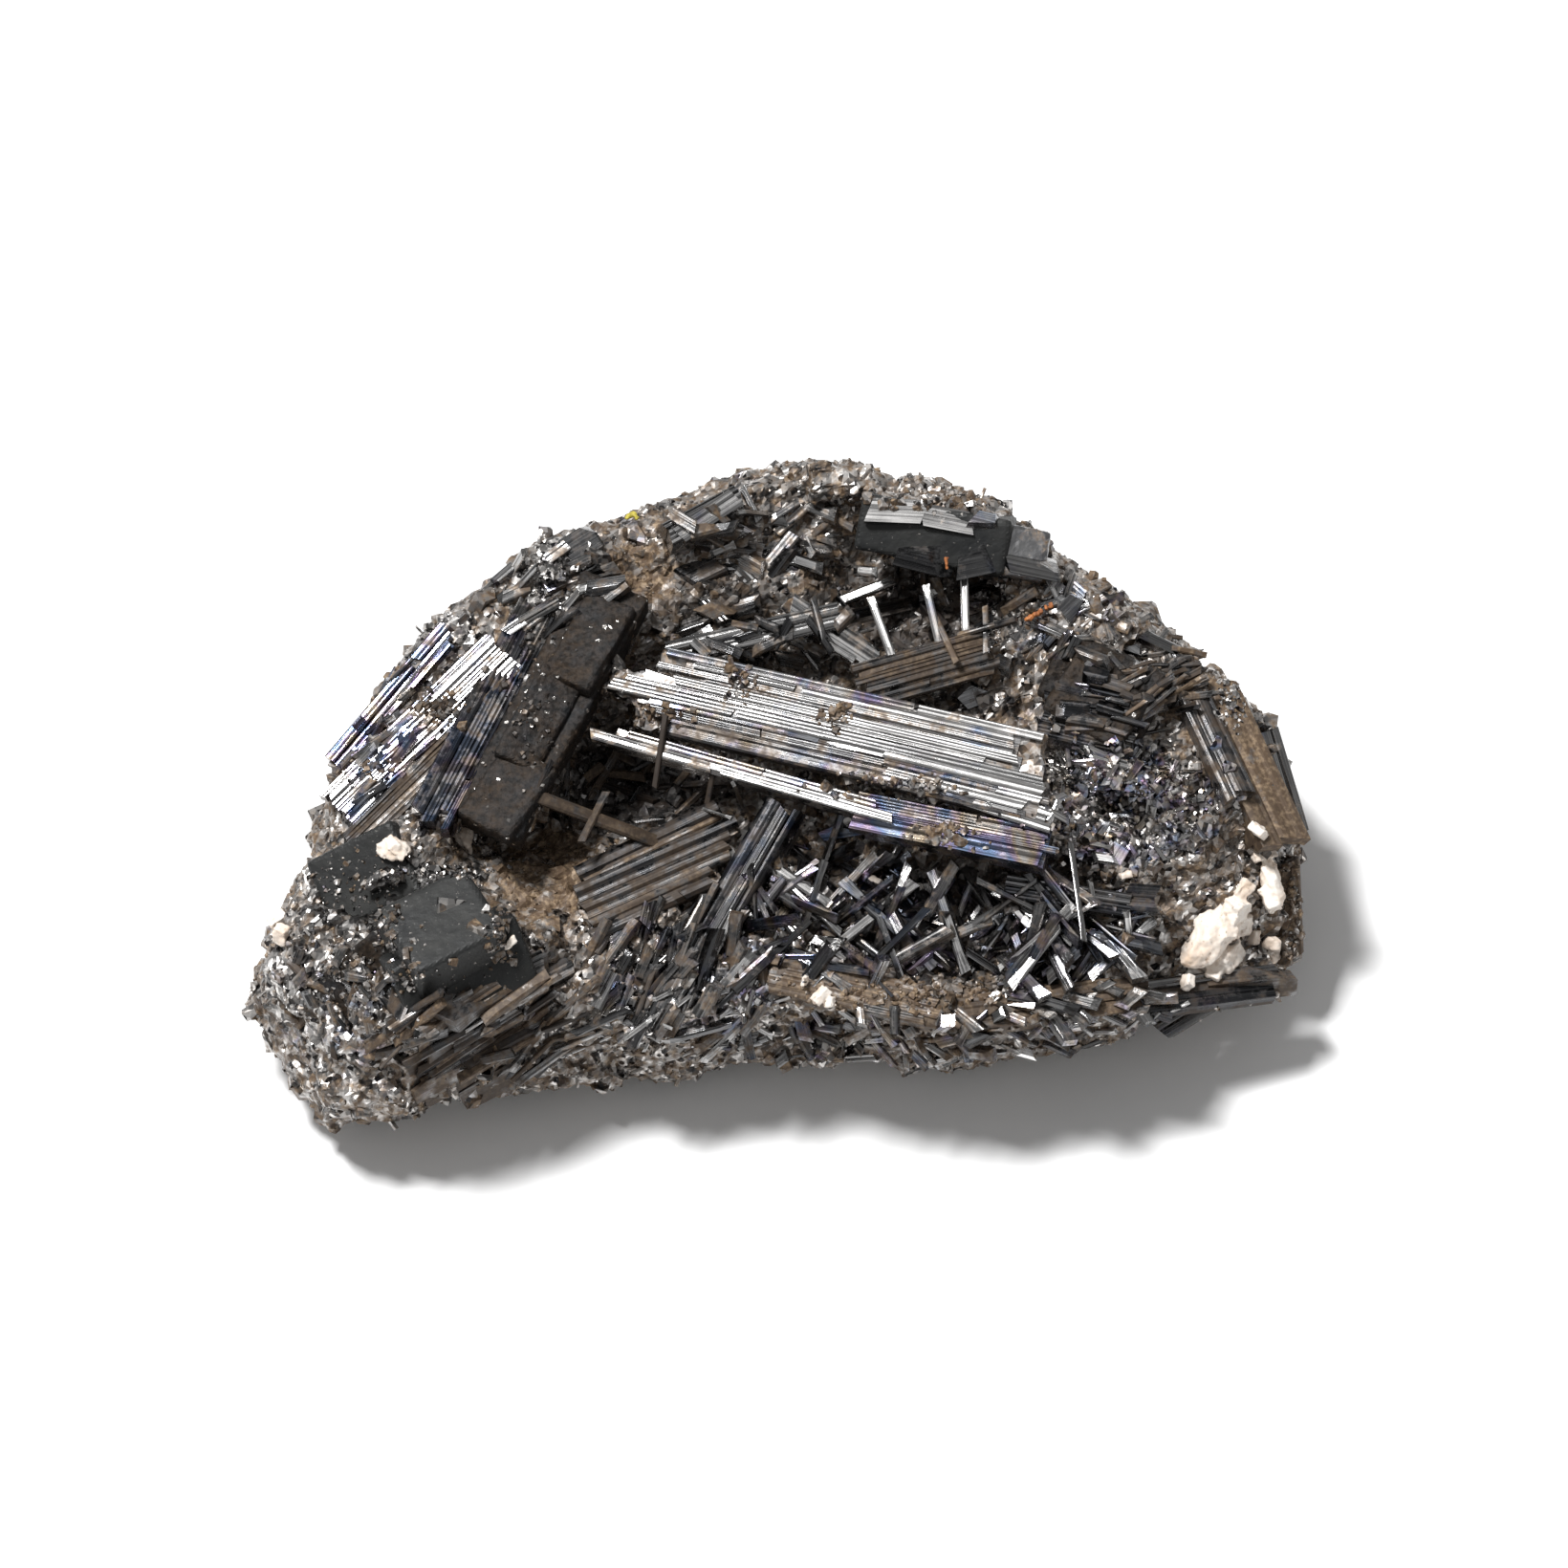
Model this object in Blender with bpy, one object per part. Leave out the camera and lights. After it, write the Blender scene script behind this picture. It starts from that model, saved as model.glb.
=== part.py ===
"""A bladed magnetite specimen: a half-moon lump of intergrown striated blades on a flat broken foot.

The lump lies on its foot with its display side up. Places on it are given as they are seen from the
front at VIEW_TILT above the horizon: right and up in millimetres from the middle of the outline, and
the height above the foot. The whole lump is one solid. Crusts of needles line its three hollows, and
patches of white calcite sit on it; each of those is cut to clear the lump by GAP.
"""

import math
import random

import bmesh
import bpy
from mathutils import Matrix, Vector, noise
from mathutils.bvhtree import BVHTree

MM = 0.001

# Driving dimensions, in millimetres unless a name says otherwise.
VIEW_TILT = math.radians(60)  # how far above the horizon the display side is looked at
MID_HEIGHT = 15.0  # the height that is seen at up = 0 over the origin
CENTRE = (-0.056, 0.073)  # the middle of the bounding box, which is moved to the origin at the end
GAP = 0.35  # clear space between the lump and what sits on it
GAP_AT_FOLDS = 1.5  # the gap is this much wider over the lump itself, to hold where its skin folds
SKY = 100.0  # a height above all of the lump, and a distance outside it

FOOT_BEVEL = 1.6  # height of the broken edge round the foot
FOOT_BREAK = 0.22  # how far that edge has come out from the foot, as a share of the foot's inset
WALL_CLEAR = 0.6  # the side wall starts at least this far above the broken edge
NOISE_SEED = 6  # picks the lump's facets and swells
SURFACE_ROUGHNESS = 1.05  # how far the lump's facets stand in or out
FACET_SCALE = 0.33  # facets to the millimetre
SWELL_ROUGHNESS = 1.1  # how far its broad swells stand in or out
SWELL_SCALE = 0.11
SHOULDER = 0.965  # the shoulder just inside the outline, as a share of the way out from MIDDLE
SHOULDER_DROP = 1.3  # how far the shoulder lies below the display side
SHOULDER_RISE = 0.3  # it stands at least this far above the outline
SHOULDER_ROUGH = 0.5  # share of the roughness there

# Small blades that lie in the skin: of the side wall, the front slope and the display side.
SHARD_SEED = 11
WALL_SHARDS, FRONT_SHARDS, TOP_SHARDS = 34, 20, 30
WALL_HEIGHTS = (5.0, 19.0)
FRONT_EDGE = (33, 53)  # the outline's points along the front lip
FRONT_SHARES = (0.84, 0.97)  # how far out from MIDDLE the front slope lies
TOP_SHARES = (0.42, 0.93)
TOP_LOWEST = 15.0  # the ground of the hollows lies below this and has needles instead
SHARD_LENGTHS, SHARD_WIDTHS, SHARD_THICK = (4.5, 10.5), (1.4, 3.0), (1.8, 2.8)
SHARD_PROUD = (0.3, 1.0)  # how far a shard stands out of the skin
SHARD_LIFT = 0.5  # how far one end stands out further than the other
SHARD_TURN = {"wall": 50, "front": 75, "top": 40}  # most that a shard turns away from the outline
SHARD_REACH = 43.4  # no shard lies further than this to the right or left
SHARD_FLOOR = 3.4  # no shard's end lies lower than this

# The outline from the right-hand corner over the top to the left and back along the front lip:
# right, up, height of the edge above the foot.
OUTLINE = (
    (44.0, -15.3, 4), (43.6, -11.1, 7), (43.2, -6.8, 9), (43.9, -3.9, 11), (43.0, -0.5, 12),
    (41.9, 3.2, 14), (40.1, 5.6, 15), (37.6, 8.4, 17), (35.4, 9.0, 18), (33.4, 12.4, 19),
    (29.2, 15.5, 21), (25.6, 17.8, 22), (21.3, 21.4, 23), (17.2, 23.8, 24), (13.2, 25.6, 24),
    (9.6, 25.6, 24), (7.4, 27.0, 24), (2.8, 27.2, 24), (-2.4, 26.5, 24), (-7.0, 24.9, 23),
    (-11.6, 22.9, 22), (-16.4, 21.6, 21), (-20.8, 19.8, 20), (-25.2, 16.3, 19), (-29.8, 13.2, 18),
    (-32.4, 9.6, 17), (-34.6, 5.7, 16), (-37.4, 0.7, 15), (-38.3, -3.0, 14), (-38.6, -6.9, 13),
    (-40.9, -9.6, 12), (-42.0, -13.2, 11), (-43.9, -17.2, 10), (-43.2, -20.2, 9), (-40.9, -22.6, 8),
    (-38.2, -26.2, 8), (-35.4, -27.4, 7), (-31.0, -26.9, 7), (-26.4, -25.8, 6), (-21.6, -25.6, 5),
    (-17.4, -25.7, 4), (-12.8, -24.7, 4), (-7.8, -25.2, 4), (-3.8, -23.7, 4), (1.4, -22.9, 5),
    (6.0, -22.8, 5), (10.6, -24.4, 4), (14.4, -24.4, 4), (19.4, -23.6, 4), (24.6, -22.9, 4),
    (29.4, -21.8, 4), (32.4, -19.4, 4), (36.0, -17.9, 4), (40.2, -17.3, 4),
)

# Heights of the display side: right, up, height.
RELIEF = (
    # the raised rim, from the left over the top to the right
    (-36.0, 0.0, 18), (-33.0, 6.0, 20), (-29.0, 10.5, 21), (-24.0, 14.5, 22), (-17.0, 19.0, 24),
    (-9.0, 22.0, 25), (-1.0, 24.0, 26), (6.0, 24.5, 26.5), (13.0, 22.0, 26.5), (21.0, 18.0, 25),
    (27.0, 14.0, 24), (32.0, 9.5, 22), (37.0, 5.0, 20), (40.5, -2.0, 17), (41.0, -8.5, 14),
    (41.0, -14.0, 11),
    # the left limb and the blocky corner
    (-30.0, 3.0, 20.5), (-36.0, -5.5, 19), (-31.0, -6.0, 21), (-38.0, -11.0, 18), (-40.0, -17.0, 16),
    (-33.0, -18.0, 20), (-36.0, -23.5, 14), (-28.0, -12.0, 22.5), (-27.0, -22.0, 14), (-21.0, -21.5, 12),
    # the slab that walls off the middle, and the ground behind it
    (-20.5, 5.5, 21), (-15.5, 13.0, 23), (-8.0, 16.5, 22), (0.0, 17.5, 21),
    # the dark hollow and the ribbed bundle in front of it
    (-18.0, -0.5, 9), (-10.0, 0.0, 8.5), (-21.5, -4.5, 11), (-4.0, -1.0, 12), (-11.0, -8.5, 16),
    (-18.0, -10.0, 17),
    # under the bright blades, and the upper hollow
    (4.0, 4.0, 18), (15.0, 0.0, 20), (22.0, -3.0, 21), (11.5, 15.5, 14), (5.5, 17.0, 16),
    (18.0, 14.5, 15), (10.0, 9.5, 19),
    # the right limb and the lower hollow
    (27.0, 8.0, 20), (30.0, 0.0, 20), (27.0, -5.5, 19), (34.0, -3.0, 18.5), (3.0, -8.5, 13),
    (10.0, -10.5, 12), (19.0, -12.0, 12), (26.0, -13.0, 13), (34.5, -11.5, 13),
    # the front ledge
    (-15.5, -16.5, 17), (-9.0, -18.0, 15.5), (0.5, -16.5, 16.5), (11.0, -18.0, 16.5),
    (21.0, -18.5, 15), (30.0, -16.5, 14),
)

# Rings of the lump from the shoulder to the middle, as shares of the way out from MIDDLE.
SURFACE_RINGS = (0.89, 0.79, 0.68, 0.56, 0.41, 0.24)
MIDDLE = (0.0, 0.5)
# Rings of the side wall from the foot up: share of the edge's height, and how far it stands in from
# the edge at the front and at the back.
WALL_RINGS = ((0.27, 2.8, -0.5), (0.50, 1.4, -1.5), (0.74, 0.6, -1.0))
FOOT_INSET = (5.2, 3.4)  # how far the foot stands in from the edge, at the front and at the back

# Blades grown into the lump: start, end (each right, up, height), width, thickness, roll in degrees.
BLADES = {
    "bright_upper": ((-10.4, 10.0, 25.6), (22.4, 2.4, 26.6), 2.6, 1.6, 4),
    "bright_middle": ((-14.4, 8.6, 24.8), (22.6, -0.1, 25.8), 2.9, 1.6, -3),
    "bright_inner": ((-12.4, 5.9, 24.0), (22.8, -2.4, 25.2), 2.8, 1.6, 3),
    "bright_lowest": ((-15.6, 4.2, 23.4), (9.5, -2.9, 24.0), 1.6, 1.5, -6),
    "bright_foot": ((6.0, -2.4, 23.2), (23.4, -5.9, 23.8), 3.4, 1.8, -8),
    "bright_end": ((25.0, 1.6, 24.2), (31.4, -0.2, 23.2), 2.2, 1.8, 0),
    "left_bright": ((-22.6, 11.0, 23.6), (-36.8, -2.9, 19.2), 4.2, 2.0, 10),
    "left_second": ((-20.8, 9.0, 23.2), (-35.6, -5.6, 19.0), 2.0, 2.4, -4),
    "left_edge": ((-27.2, 12.9, 22.0), (-37.6, 0.6, 17.6), 2.2, 2.0, 20),
    "dark_slab": ((-13.6, 16.4, 25.4), (-24.2, -3.6, 22.6), 6.2, 3.0, 6),
    "slab_back": ((-19.6, 15.2, 24.0), (-29.2, -3.8, 22.2), 4.4, 2.6, 12),
    "corner_block": ((-31.2, -13.2, 24.8), (-24.0, -9.6, 24.8), 7.4, 7.0, -20),
    "corner_under": ((-31.0, -18.6, 19.6), (-19.6, -13.2, 18.6), 6.0, 6.0, -18),
    "corner_lath_1": ((-32.6, -23.0, 14.6), (-17.2, -14.6, 15.6), 3.2, 3.0, -20),
    "corner_lath_2": ((-31.4, -25.2, 11.6), (-15.4, -16.6, 12.4), 2.6, 3.0, -26),
    "corner_lath_3": ((-27.4, -25.4, 8.6), (-13.2, -18.2, 10.4), 2.4, 2.6, -30),
    "corner_knob": ((-42.6, -17.6, 14.6), (-35.6, -14.4, 18.6), 5.0, 5.0, -12),
    "corner_tip": ((-39.4, -24.6, 10.6), (-30.4, -24.4, 12.6), 4.4, 5.0, -10),
    "ribbed_1": ((-17.6, -8.4, 17.4), (-4.6, -2.2, 19.2), 1.4, 2.2, 0),
    "ribbed_2": ((-17.2, -9.8, 17.8), (-3.2, -3.6, 19.6), 1.4, 2.4, 0),
    "ribbed_3": ((-16.6, -11.2, 17.8), (-3.4, -5.4, 19.4), 1.4, 2.4, 0),
    "ribbed_4": ((-15.8, -12.6, 17.4), (-4.8, -7.6, 18.8), 1.4, 2.2, 0),
    "steep_blade": ((0.6, -1.6, 22.4), (-8.6, -17.6, 16.0), 3.2, 2.4, 18),
    "steep_small": ((-6.4, -12.6, 18.4), (-10.6, -21.0, 14.6), 2.2, 2.0, 10),
    "grey_prism": ((-9.4, 10.4, 23.4), (5.2, 13.8, 25.0), 2.2, 2.2, 14),
    "grey_prism_2": ((0.8, 14.8, 24.4), (8.4, 9.8, 22.6), 1.8, 1.8, 0),
    "crown_block": ((6.6, 22.0, 28.6), (19.4, 19.6, 28.4), 5.2, 5.0, 14),
    "crown_end": ((17.4, 19.6, 27.6), (22.4, 18.6, 26.6), 4.6, 4.6, 0),
    "crown_prism": ((-9.4, 20.4, 27.2), (-3.2, 23.8, 27.6), 2.2, 2.4, 0),
    "crown_cap": ((1.6, 25.4, 27.2), (8.8, 25.4, 26.8), 3.4, 3.6, 0),
    "crown_shoulder": ((9.6, 24.6, 26.6), (19.6, 21.8, 25.8), 3.0, 3.6, 8),
    "fan_slab": ((6.4, 7.6, 23.4), (18.4, 11.0, 24.2), 3.8, 2.6, 10),
    "fan_right": ((22.4, 9.8, 24.6), (31.0, 6.0, 24.0), 6.0, 3.6, 16),
    "fan_lower": ((21.6, 5.6, 23.6), (29.8, 3.6, 23.4), 4.0, 3.0, -8),
    "edge_blade_1": ((35.8, 8.6, 21.6), (42.2, -5.4, 17.2), 4.4, 2.4, -20),
    "edge_blade_2": ((40.6, 4.2, 17.6), (43.2, -4.6, 13.6), 2.8, 2.2, -34),
    "edge_blade_3": ((32.8, 10.9, 23.0), (38.4, -1.6, 20.4), 2.6, 2.2, -12),
    "edge_foot": ((42.6, -6.6, 12.6), (43.0, -15.2, 7.6), 2.0, 2.6, -30),
    "long_prism": ((18.4, -8.7, 19.8), (29.2, -10.4, 19.4), 1.9, 2.0, 0),
    "long_prism_end": ((28.6, -9.6, 19.6), (31.2, -9.8, 19.4), 2.2, 2.2, 0),
    "ledge_plate_1": ((-1.6, -15.6, 17.8), (15.4, -19.2, 17.2), 3.4, 1.8, -6),
    "ledge_plate_2": ((13.4, -19.4, 16.4), (30.6, -17.4, 15.2), 3.0, 1.8, -8),
    "lip_blade_1": ((27.6, -18.3, 12.2), (42.2, -16.6, 9.4), 3.0, 1.4, -10),
    "lip_blade_2": ((31.8, -21.0, 6.2), (37.2, -17.6, 9.2), 1.6, 1.2, 0),
}

# Thin laths of the front that cross each other: start, end (each right, up, height), thickness.
LATHS = {
    "white_needle": ((19.0, -16.9, 17.6), (24.3, -10.3, 20.4), 1.0),
    "grey_lath": ((17.7, -8.9, 18.2), (24.2, -13.2, 18.4), 1.2),
    "steep_lath": ((20.1, -11.3, 18.6), (23.8, -15.8, 17.4), 1.1),
    "ledge_lath": ((19.2, -17.4, 17.0), (24.6, -18.9, 16.2), 1.3),
    "short_lath": ((18.1, -15.5, 17.0), (21.2, -12.8, 18.2), 1.0),
    "blue_lath": ((-0.9, -6.7, 19.4), (4.4, -10.4, 17.6), 1.2),
    "dark_lath": ((-2.8, -7.2, 19.0), (4.4, -11.8, 16.8), 1.4),
    "crossing_lath_1": ((3.4, -14.6, 16.6), (11.2, -8.4, 18.2), 1.2),
    "crossing_lath_2": ((5.2, -8.2, 18.6), (12.8, -15.4, 16.6), 1.2),
    "crossing_lath_3": ((9.4, -14.9, 16.8), (17.6, -11.4, 17.4), 1.1),
    "crossing_lath_4": ((12.6, -7.4, 19.2), (15.4, -15.8, 16.6), 1.1),
    "right_lath_1": ((23.4, -12.2, 17.8), (31.6, -13.9, 16.8), 1.2),
    "right_lath_2": ((25.6, -16.2, 16.0), (31.0, -11.4, 17.6), 1.1),
    "pale_lath": ((-5.5, -14.3, 17.8), (-3.7, -10.9, 19.2), 1.3),
    "bright_lath": ((-13.0, -21.5, 13.8), (-8.9, -18.6, 15.6), 1.4),
    "front_block": ((-3.9, -21.2, 12.6), (-0.7, -21.0, 12.4), 2.2),
}

# Hollows with a crust of needles: the middle (right, up) of the crust, its half width and half
# depth, how many needles cross it, how long and thick they are and how steeply they stand (degrees).
HOLLOWS = {
    "upper_hollow_crust": {
        "middle": (11.6, 14.2), "half": (8.6, 3.4),
        "needles": 13, "length": 7.5, "thick": 0.8, "lean": (12, 62), "seed": 3,
    },
    "dark_hollow_crust": {
        "middle": (-12.6, -0.4), "half": (7.6, 3.2),
        "needles": 8, "length": 6.5, "thick": 0.9, "lean": (4, 18), "seed": 7,
    },
    "lower_hollow_crust": {
        "middle": (12.6, -11.0), "half": (13.4, 4.6),
        "needles": 24, "length": 8.5, "thick": 0.9, "lean": (12, 62), "seed": 5,
    },
}
CRUST_DEEP = 1.3  # how far the crust's plate starts below the hollow's floor, before it is cut
CRUST_STEP = 2.6  # spacing of the crust plate's points
CRUST_RISE = 0.9  # how far the crust stands above the floor
CRUST_WAVE = 0.6  # waves of the crust's top to the millimetre
NEEDLE_ROOT = 0.8  # how far a needle reaches down into its crust
NEEDLE_WIDE = 1.3  # width over thickness

# White calcite: middle (right, up), half sizes along its length, its width and its depth, turn.
CALCITE = {
    "calcite_patch": {"middle": (36.4, -12.0), "half": (4.9, 1.9, 1.7), "turn": 57, "seed": 1.0},
    "calcite_flake": {"middle": (40.6, -7.6), "half": (4.0, 1.0, 1.4), "turn": -74, "seed": 2.0},
    "calcite_rod": {"middle": (40.4, -13.2), "half": (2.2, 0.75, 0.9), "turn": -38, "seed": 3.0},
    "calcite_grain_left": {"middle": (-31.8, -5.8), "half": (1.5, 1.1, 1.0), "turn": -10, "seed": 4.0},
    "calcite_grain_right": {"middle": (-26.4, -5.0), "half": (1.5, 1.0, 1.0), "turn": 80, "seed": 5.0},
}
CALCITE_BUMP = 0.28  # share by which a lump of calcite swells or shrinks
CALCITE_BUMP_SCALE = 1.7

SIN, COS = math.sin(VIEW_TILT), math.cos(VIEW_TILT)
SIGHT = Vector((0.0, COS, -SIN))  # the way the viewer looks
FACE_UP = Vector((0.0, -0.30, 0.954))  # which way a blade's broad face looks before it is rolled
BLADE_SLANT = 0.35  # how far a blade's end slants, as a share of its width
BLADE_CHAMFER = 0.24  # width of the chamfer on a blade's upper edges, as a share of its smaller side

# Finishes: colour, roughness, metallic.
STEEL = ((0.055, 0.056, 0.060), 0.42, 0.85)
CRUST = ((0.075, 0.066, 0.058), 0.50, 0.70)
WHITE = ((0.80, 0.76, 0.70), 0.70, 0.0)


def seen(right, up, height):
    """The point in metres that is seen at right, up and lies at that height."""
    depth = (up - (height - MID_HEIGHT) * COS) / SIN
    return Vector((right, depth, height)) * MM


def give_finish(made, colour, roughness, metallic):
    """Gives an object a material of its own."""
    material = bpy.data.materials.new(made.name + "_finish")
    material.use_nodes = True
    shader = material.node_tree.nodes["Principled BSDF"]
    shader.inputs["Base Color"].default_value = (*colour, 1.0)
    shader.inputs["Roughness"].default_value = roughness
    shader.inputs["Metallic"].default_value = metallic
    made.data.materials.append(material)


def add_object(name, shape):
    """Turns a bmesh into a linked object."""
    mesh = bpy.data.meshes.new(name)
    bmesh.ops.recalc_face_normals(shape, faces=shape.faces)
    shape.to_mesh(mesh)
    shape.free()
    made = bpy.data.objects.new(name, mesh)
    bpy.context.scene.collection.objects.link(made)
    return made


KNOBS = [seen(*knob) for knob in RELIEF]
KNOB_BLUR = 1.5 * MM


def relief(x, y):
    """Height of the display side over x, y, blended from the nearest stated heights."""
    total = weight = 0.0
    for knob in KNOBS:
        gap = (knob.x - x) ** 2 + (knob.y - y) ** 2 + KNOB_BLUR**2
        share = 1.0 / gap**2
        total += share * knob.z
        weight += share
    return total / weight


def roughened(point, share=1.0):
    """A point of the skin moved by its broad swells and its facets."""
    swell = noise.noise_vector(point / MM * SWELL_SCALE) * SWELL_ROUGHNESS
    facet = noise.noise_vector(point / MM * FACET_SCALE) * SURFACE_ROUGHNESS
    return point + (swell + facet) * share * MM


def edge_points():
    """The points of the outline, and at each the level direction out of the lump."""
    edge = [seen(*point) for point in OUTLINE]
    outward = []
    for i in range(len(edge)):
        along = edge[(i + 1) % len(edge)] - edge[i - 1]
        outward.append(Vector((along.y, -along.x, 0.0)).normalized())
    return edge, outward


def inset(edge, outward, front, back):
    """The outline moved in, by front where it looks at the viewer and by back where it looks away."""
    moved = []
    for point, out in zip(edge, outward):
        backness = 0.5 + 0.5 * out.y
        moved.append(point - out * (front + (back - front) * backness) * MM)
    return moved


def wall_rings(edge, outward):
    """Rings of points from the foot up the side wall."""
    foot = inset(edge, outward, *FOOT_INSET)
    broken = [p.lerp(q, FOOT_BREAK) for p, q in zip(foot, edge)]
    rings = [
        [Vector((p.x, p.y, 0.0)) for p in foot],
        [Vector((p.x, p.y, FOOT_BEVEL * MM)) for p in broken],
    ]
    for share, front, back in WALL_RINGS:
        ring = []
        for p, q in zip(inset(edge, outward, front, back), edge):
            height = max(q.z * share, (FOOT_BEVEL + WALL_CLEAR) * MM)
            ring.append(roughened(Vector((p.x, p.y, height))))
        rings.append(ring)
    return rings


def surface_rings(edge):
    """Rings of points from the shoulder in over the display side."""
    middle = Vector((*MIDDLE, 0.0)) * MM
    shoulder = []
    for point in edge:
        spot = middle.lerp(point, SHOULDER)
        height = max(relief(spot.x, spot.y) - SHOULDER_DROP * MM, point.z + SHOULDER_RISE * MM)
        shoulder.append(roughened(Vector((spot.x, spot.y, height)), SHOULDER_ROUGH))
    rings = [shoulder]
    for share in SURFACE_RINGS:
        spots = [middle.lerp(point, share) for point in edge]
        rings.append([roughened(Vector((p.x, p.y, relief(p.x, p.y)))) for p in spots])
    return rings


def join_rings(shape, lower, upper):
    """Closes the band between two rings with triangles, along the shorter diagonals."""
    for i in range(len(lower)):
        j = (i + 1) % len(lower)
        a, b, c, d = lower[i], lower[j], upper[j], upper[i]
        if (a.co - c.co).length < (b.co - d.co).length:
            halves = ((a, b, c), (a, c, d))
        else:
            halves = ((a, b, d), (b, c, d))
        for half in halves:
            shape.faces.new(half)


def lump(grow=0.0):
    """The body of the specimen: rings from the foot over the edge to the middle of the display side."""
    edge, outward = edge_points()
    rings = wall_rings(edge, outward) + [edge] + surface_rings(edge)
    shape = bmesh.new()
    rows = [[shape.verts.new(point) for point in ring] for ring in rings]
    for lower, upper in zip(rows, rows[1:]):
        join_rings(shape, lower, upper)
    shape.faces.new(list(reversed(rows[0])))
    height = relief(MIDDLE[0] * MM, MIDDLE[1] * MM)
    centre = shape.verts.new((MIDDLE[0] * MM, MIDDLE[1] * MM, height))
    top = rows[-1]
    for i in range(len(top)):
        shape.faces.new((top[i], top[(i + 1) % len(top)], centre))
    bmesh.ops.recalc_face_normals(shape, faces=shape.faces)
    if grow:
        shape.normal_update()
        for vertex in shape.verts:
            vertex.co += vertex.normal * grow * MM
    return shape


def blade_shape(start, end, width, thickness, roll, grow=0.0, chamfer=True, facing=FACE_UP):
    """A flat prism with slanting ends, whose broad face looks to facing before it is rolled.

    start and end are points in metres on the middle line of that face.
    """
    axis = end - start
    length = axis.length
    axis.normalize()
    side = facing.cross(axis).normalized()
    normal = axis.cross(side).normalized()
    turn = Matrix.Rotation(math.radians(roll), 3, axis)
    side, normal = turn @ side, turn @ normal
    wide, thick = (width + 2 * grow) * MM, (thickness + 2 * grow) * MM
    length += 2 * grow * MM
    shape = bmesh.new()
    bmesh.ops.create_cube(shape, size=1.0)
    slant = BLADE_SLANT * min(wide, length)
    for vertex in shape.verts:
        x, y, z = vertex.co
        end_sign = 1.0 if x > 0 else -1.0
        slid = 0.5 * slant * (0.5 + y * end_sign) + 0.5 * slant * (0.5 + z)
        vertex.co = Vector((x * length - end_sign * slid, y * wide, z * thick))
    if chamfer:
        upper = [e for e in shape.edges if min(e.verts[0].co.z, e.verts[1].co.z) > 0]
        long_edges = [e for e in upper if (e.verts[0].co.x > 0) != (e.verts[1].co.x > 0)]
        offset = BLADE_CHAMFER * min(wide, thick)
        bmesh.ops.bevel(shape, geom=long_edges, offset=offset, segments=1, affect="EDGES")
    middle = (start + end) / 2 - normal * thick / 2
    frame = Matrix((axis, side, normal)).transposed().to_4x4()
    frame.translation = middle
    bmesh.ops.transform(shape, matrix=frame, verts=shape.verts)
    return shape


def main_blades(grow=0.0):
    """The named blades and laths, as separate shapes."""
    shapes = []
    for start, end, width, thickness, roll in BLADES.values():
        shapes.append(blade_shape(seen(*start), seen(*end), width, thickness, roll, grow))
    for start, end, thickness in LATHS.values():
        shapes.append(blade_shape(seen(*start), seen(*end), thickness, thickness, 0, grow, chamfer=False))
    return shapes


def wall_spots(tree, chance):
    """Points all round the side wall: the point, the normal and the level direction along the wall."""
    spots = []
    for i in range(WALL_SHARDS):
        turn = math.tau * (i + chance.uniform(-0.3, 0.3)) / WALL_SHARDS
        inward = Vector((-math.cos(turn), -math.sin(turn), 0.0))
        outside = inward * -SKY * MM
        outside.z = chance.uniform(*WALL_HEIGHTS) * MM
        hit, normal, _, _ = tree.ray_cast(outside, inward)
        spots.append((hit, normal, Vector((inward.y, -inward.x, 0.0))))
    return spots


def spots_above(tree, chance, count, points, shares):
    """Points of the upper side between two shares of the way out to a stretch of the outline."""
    edge, _ = edge_points()
    middle = Vector((*MIDDLE, 0.0)) * MM
    first, last = points
    spots = []
    for i in range(count):
        at = first + round((last - first) * (i + chance.uniform(0.0, 1.0)) / count)
        spot = middle.lerp(edge[at % len(edge)], chance.uniform(*shares))
        hit, normal, _, _ = tree.ray_cast(Vector((spot.x, spot.y, SKY * MM)), Vector((0, 0, -1)))
        along = edge[(at + 1) % len(edge)] - edge[(at - 1) % len(edge)]
        spots.append((hit, normal, along))
    return spots


def shard_shape(chance, spot, most_turn, grow):
    """A small blade that lies in the skin at a spot."""
    hit, normal, heading = spot
    turned = Matrix.Rotation(math.radians(chance.uniform(-most_turn, most_turn)), 3, normal) @ heading
    along = (turned - normal * turned.dot(normal)).normalized()
    middle = hit + normal * chance.uniform(*SHARD_PROUD) * MM
    reach = along * chance.uniform(*SHARD_LENGTHS) * MM / 2 + normal * chance.uniform(0.0, SHARD_LIFT) * MM
    ends = [middle - reach, middle + reach]
    for end in ends:
        end.z = max(end.z, SHARD_FLOOR * MM)
    over = max(abs(end.x) for end in ends) - SHARD_REACH * MM
    pull = Vector((math.copysign(max(0.0, over), middle.x), 0.0, 0.0))
    width, thickness = chance.uniform(*SHARD_WIDTHS), chance.uniform(*SHARD_THICK)
    start, end = (point - pull for point in ends)
    return blade_shape(start, end, width, thickness, 0, grow, chamfer=False, facing=normal)


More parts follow.
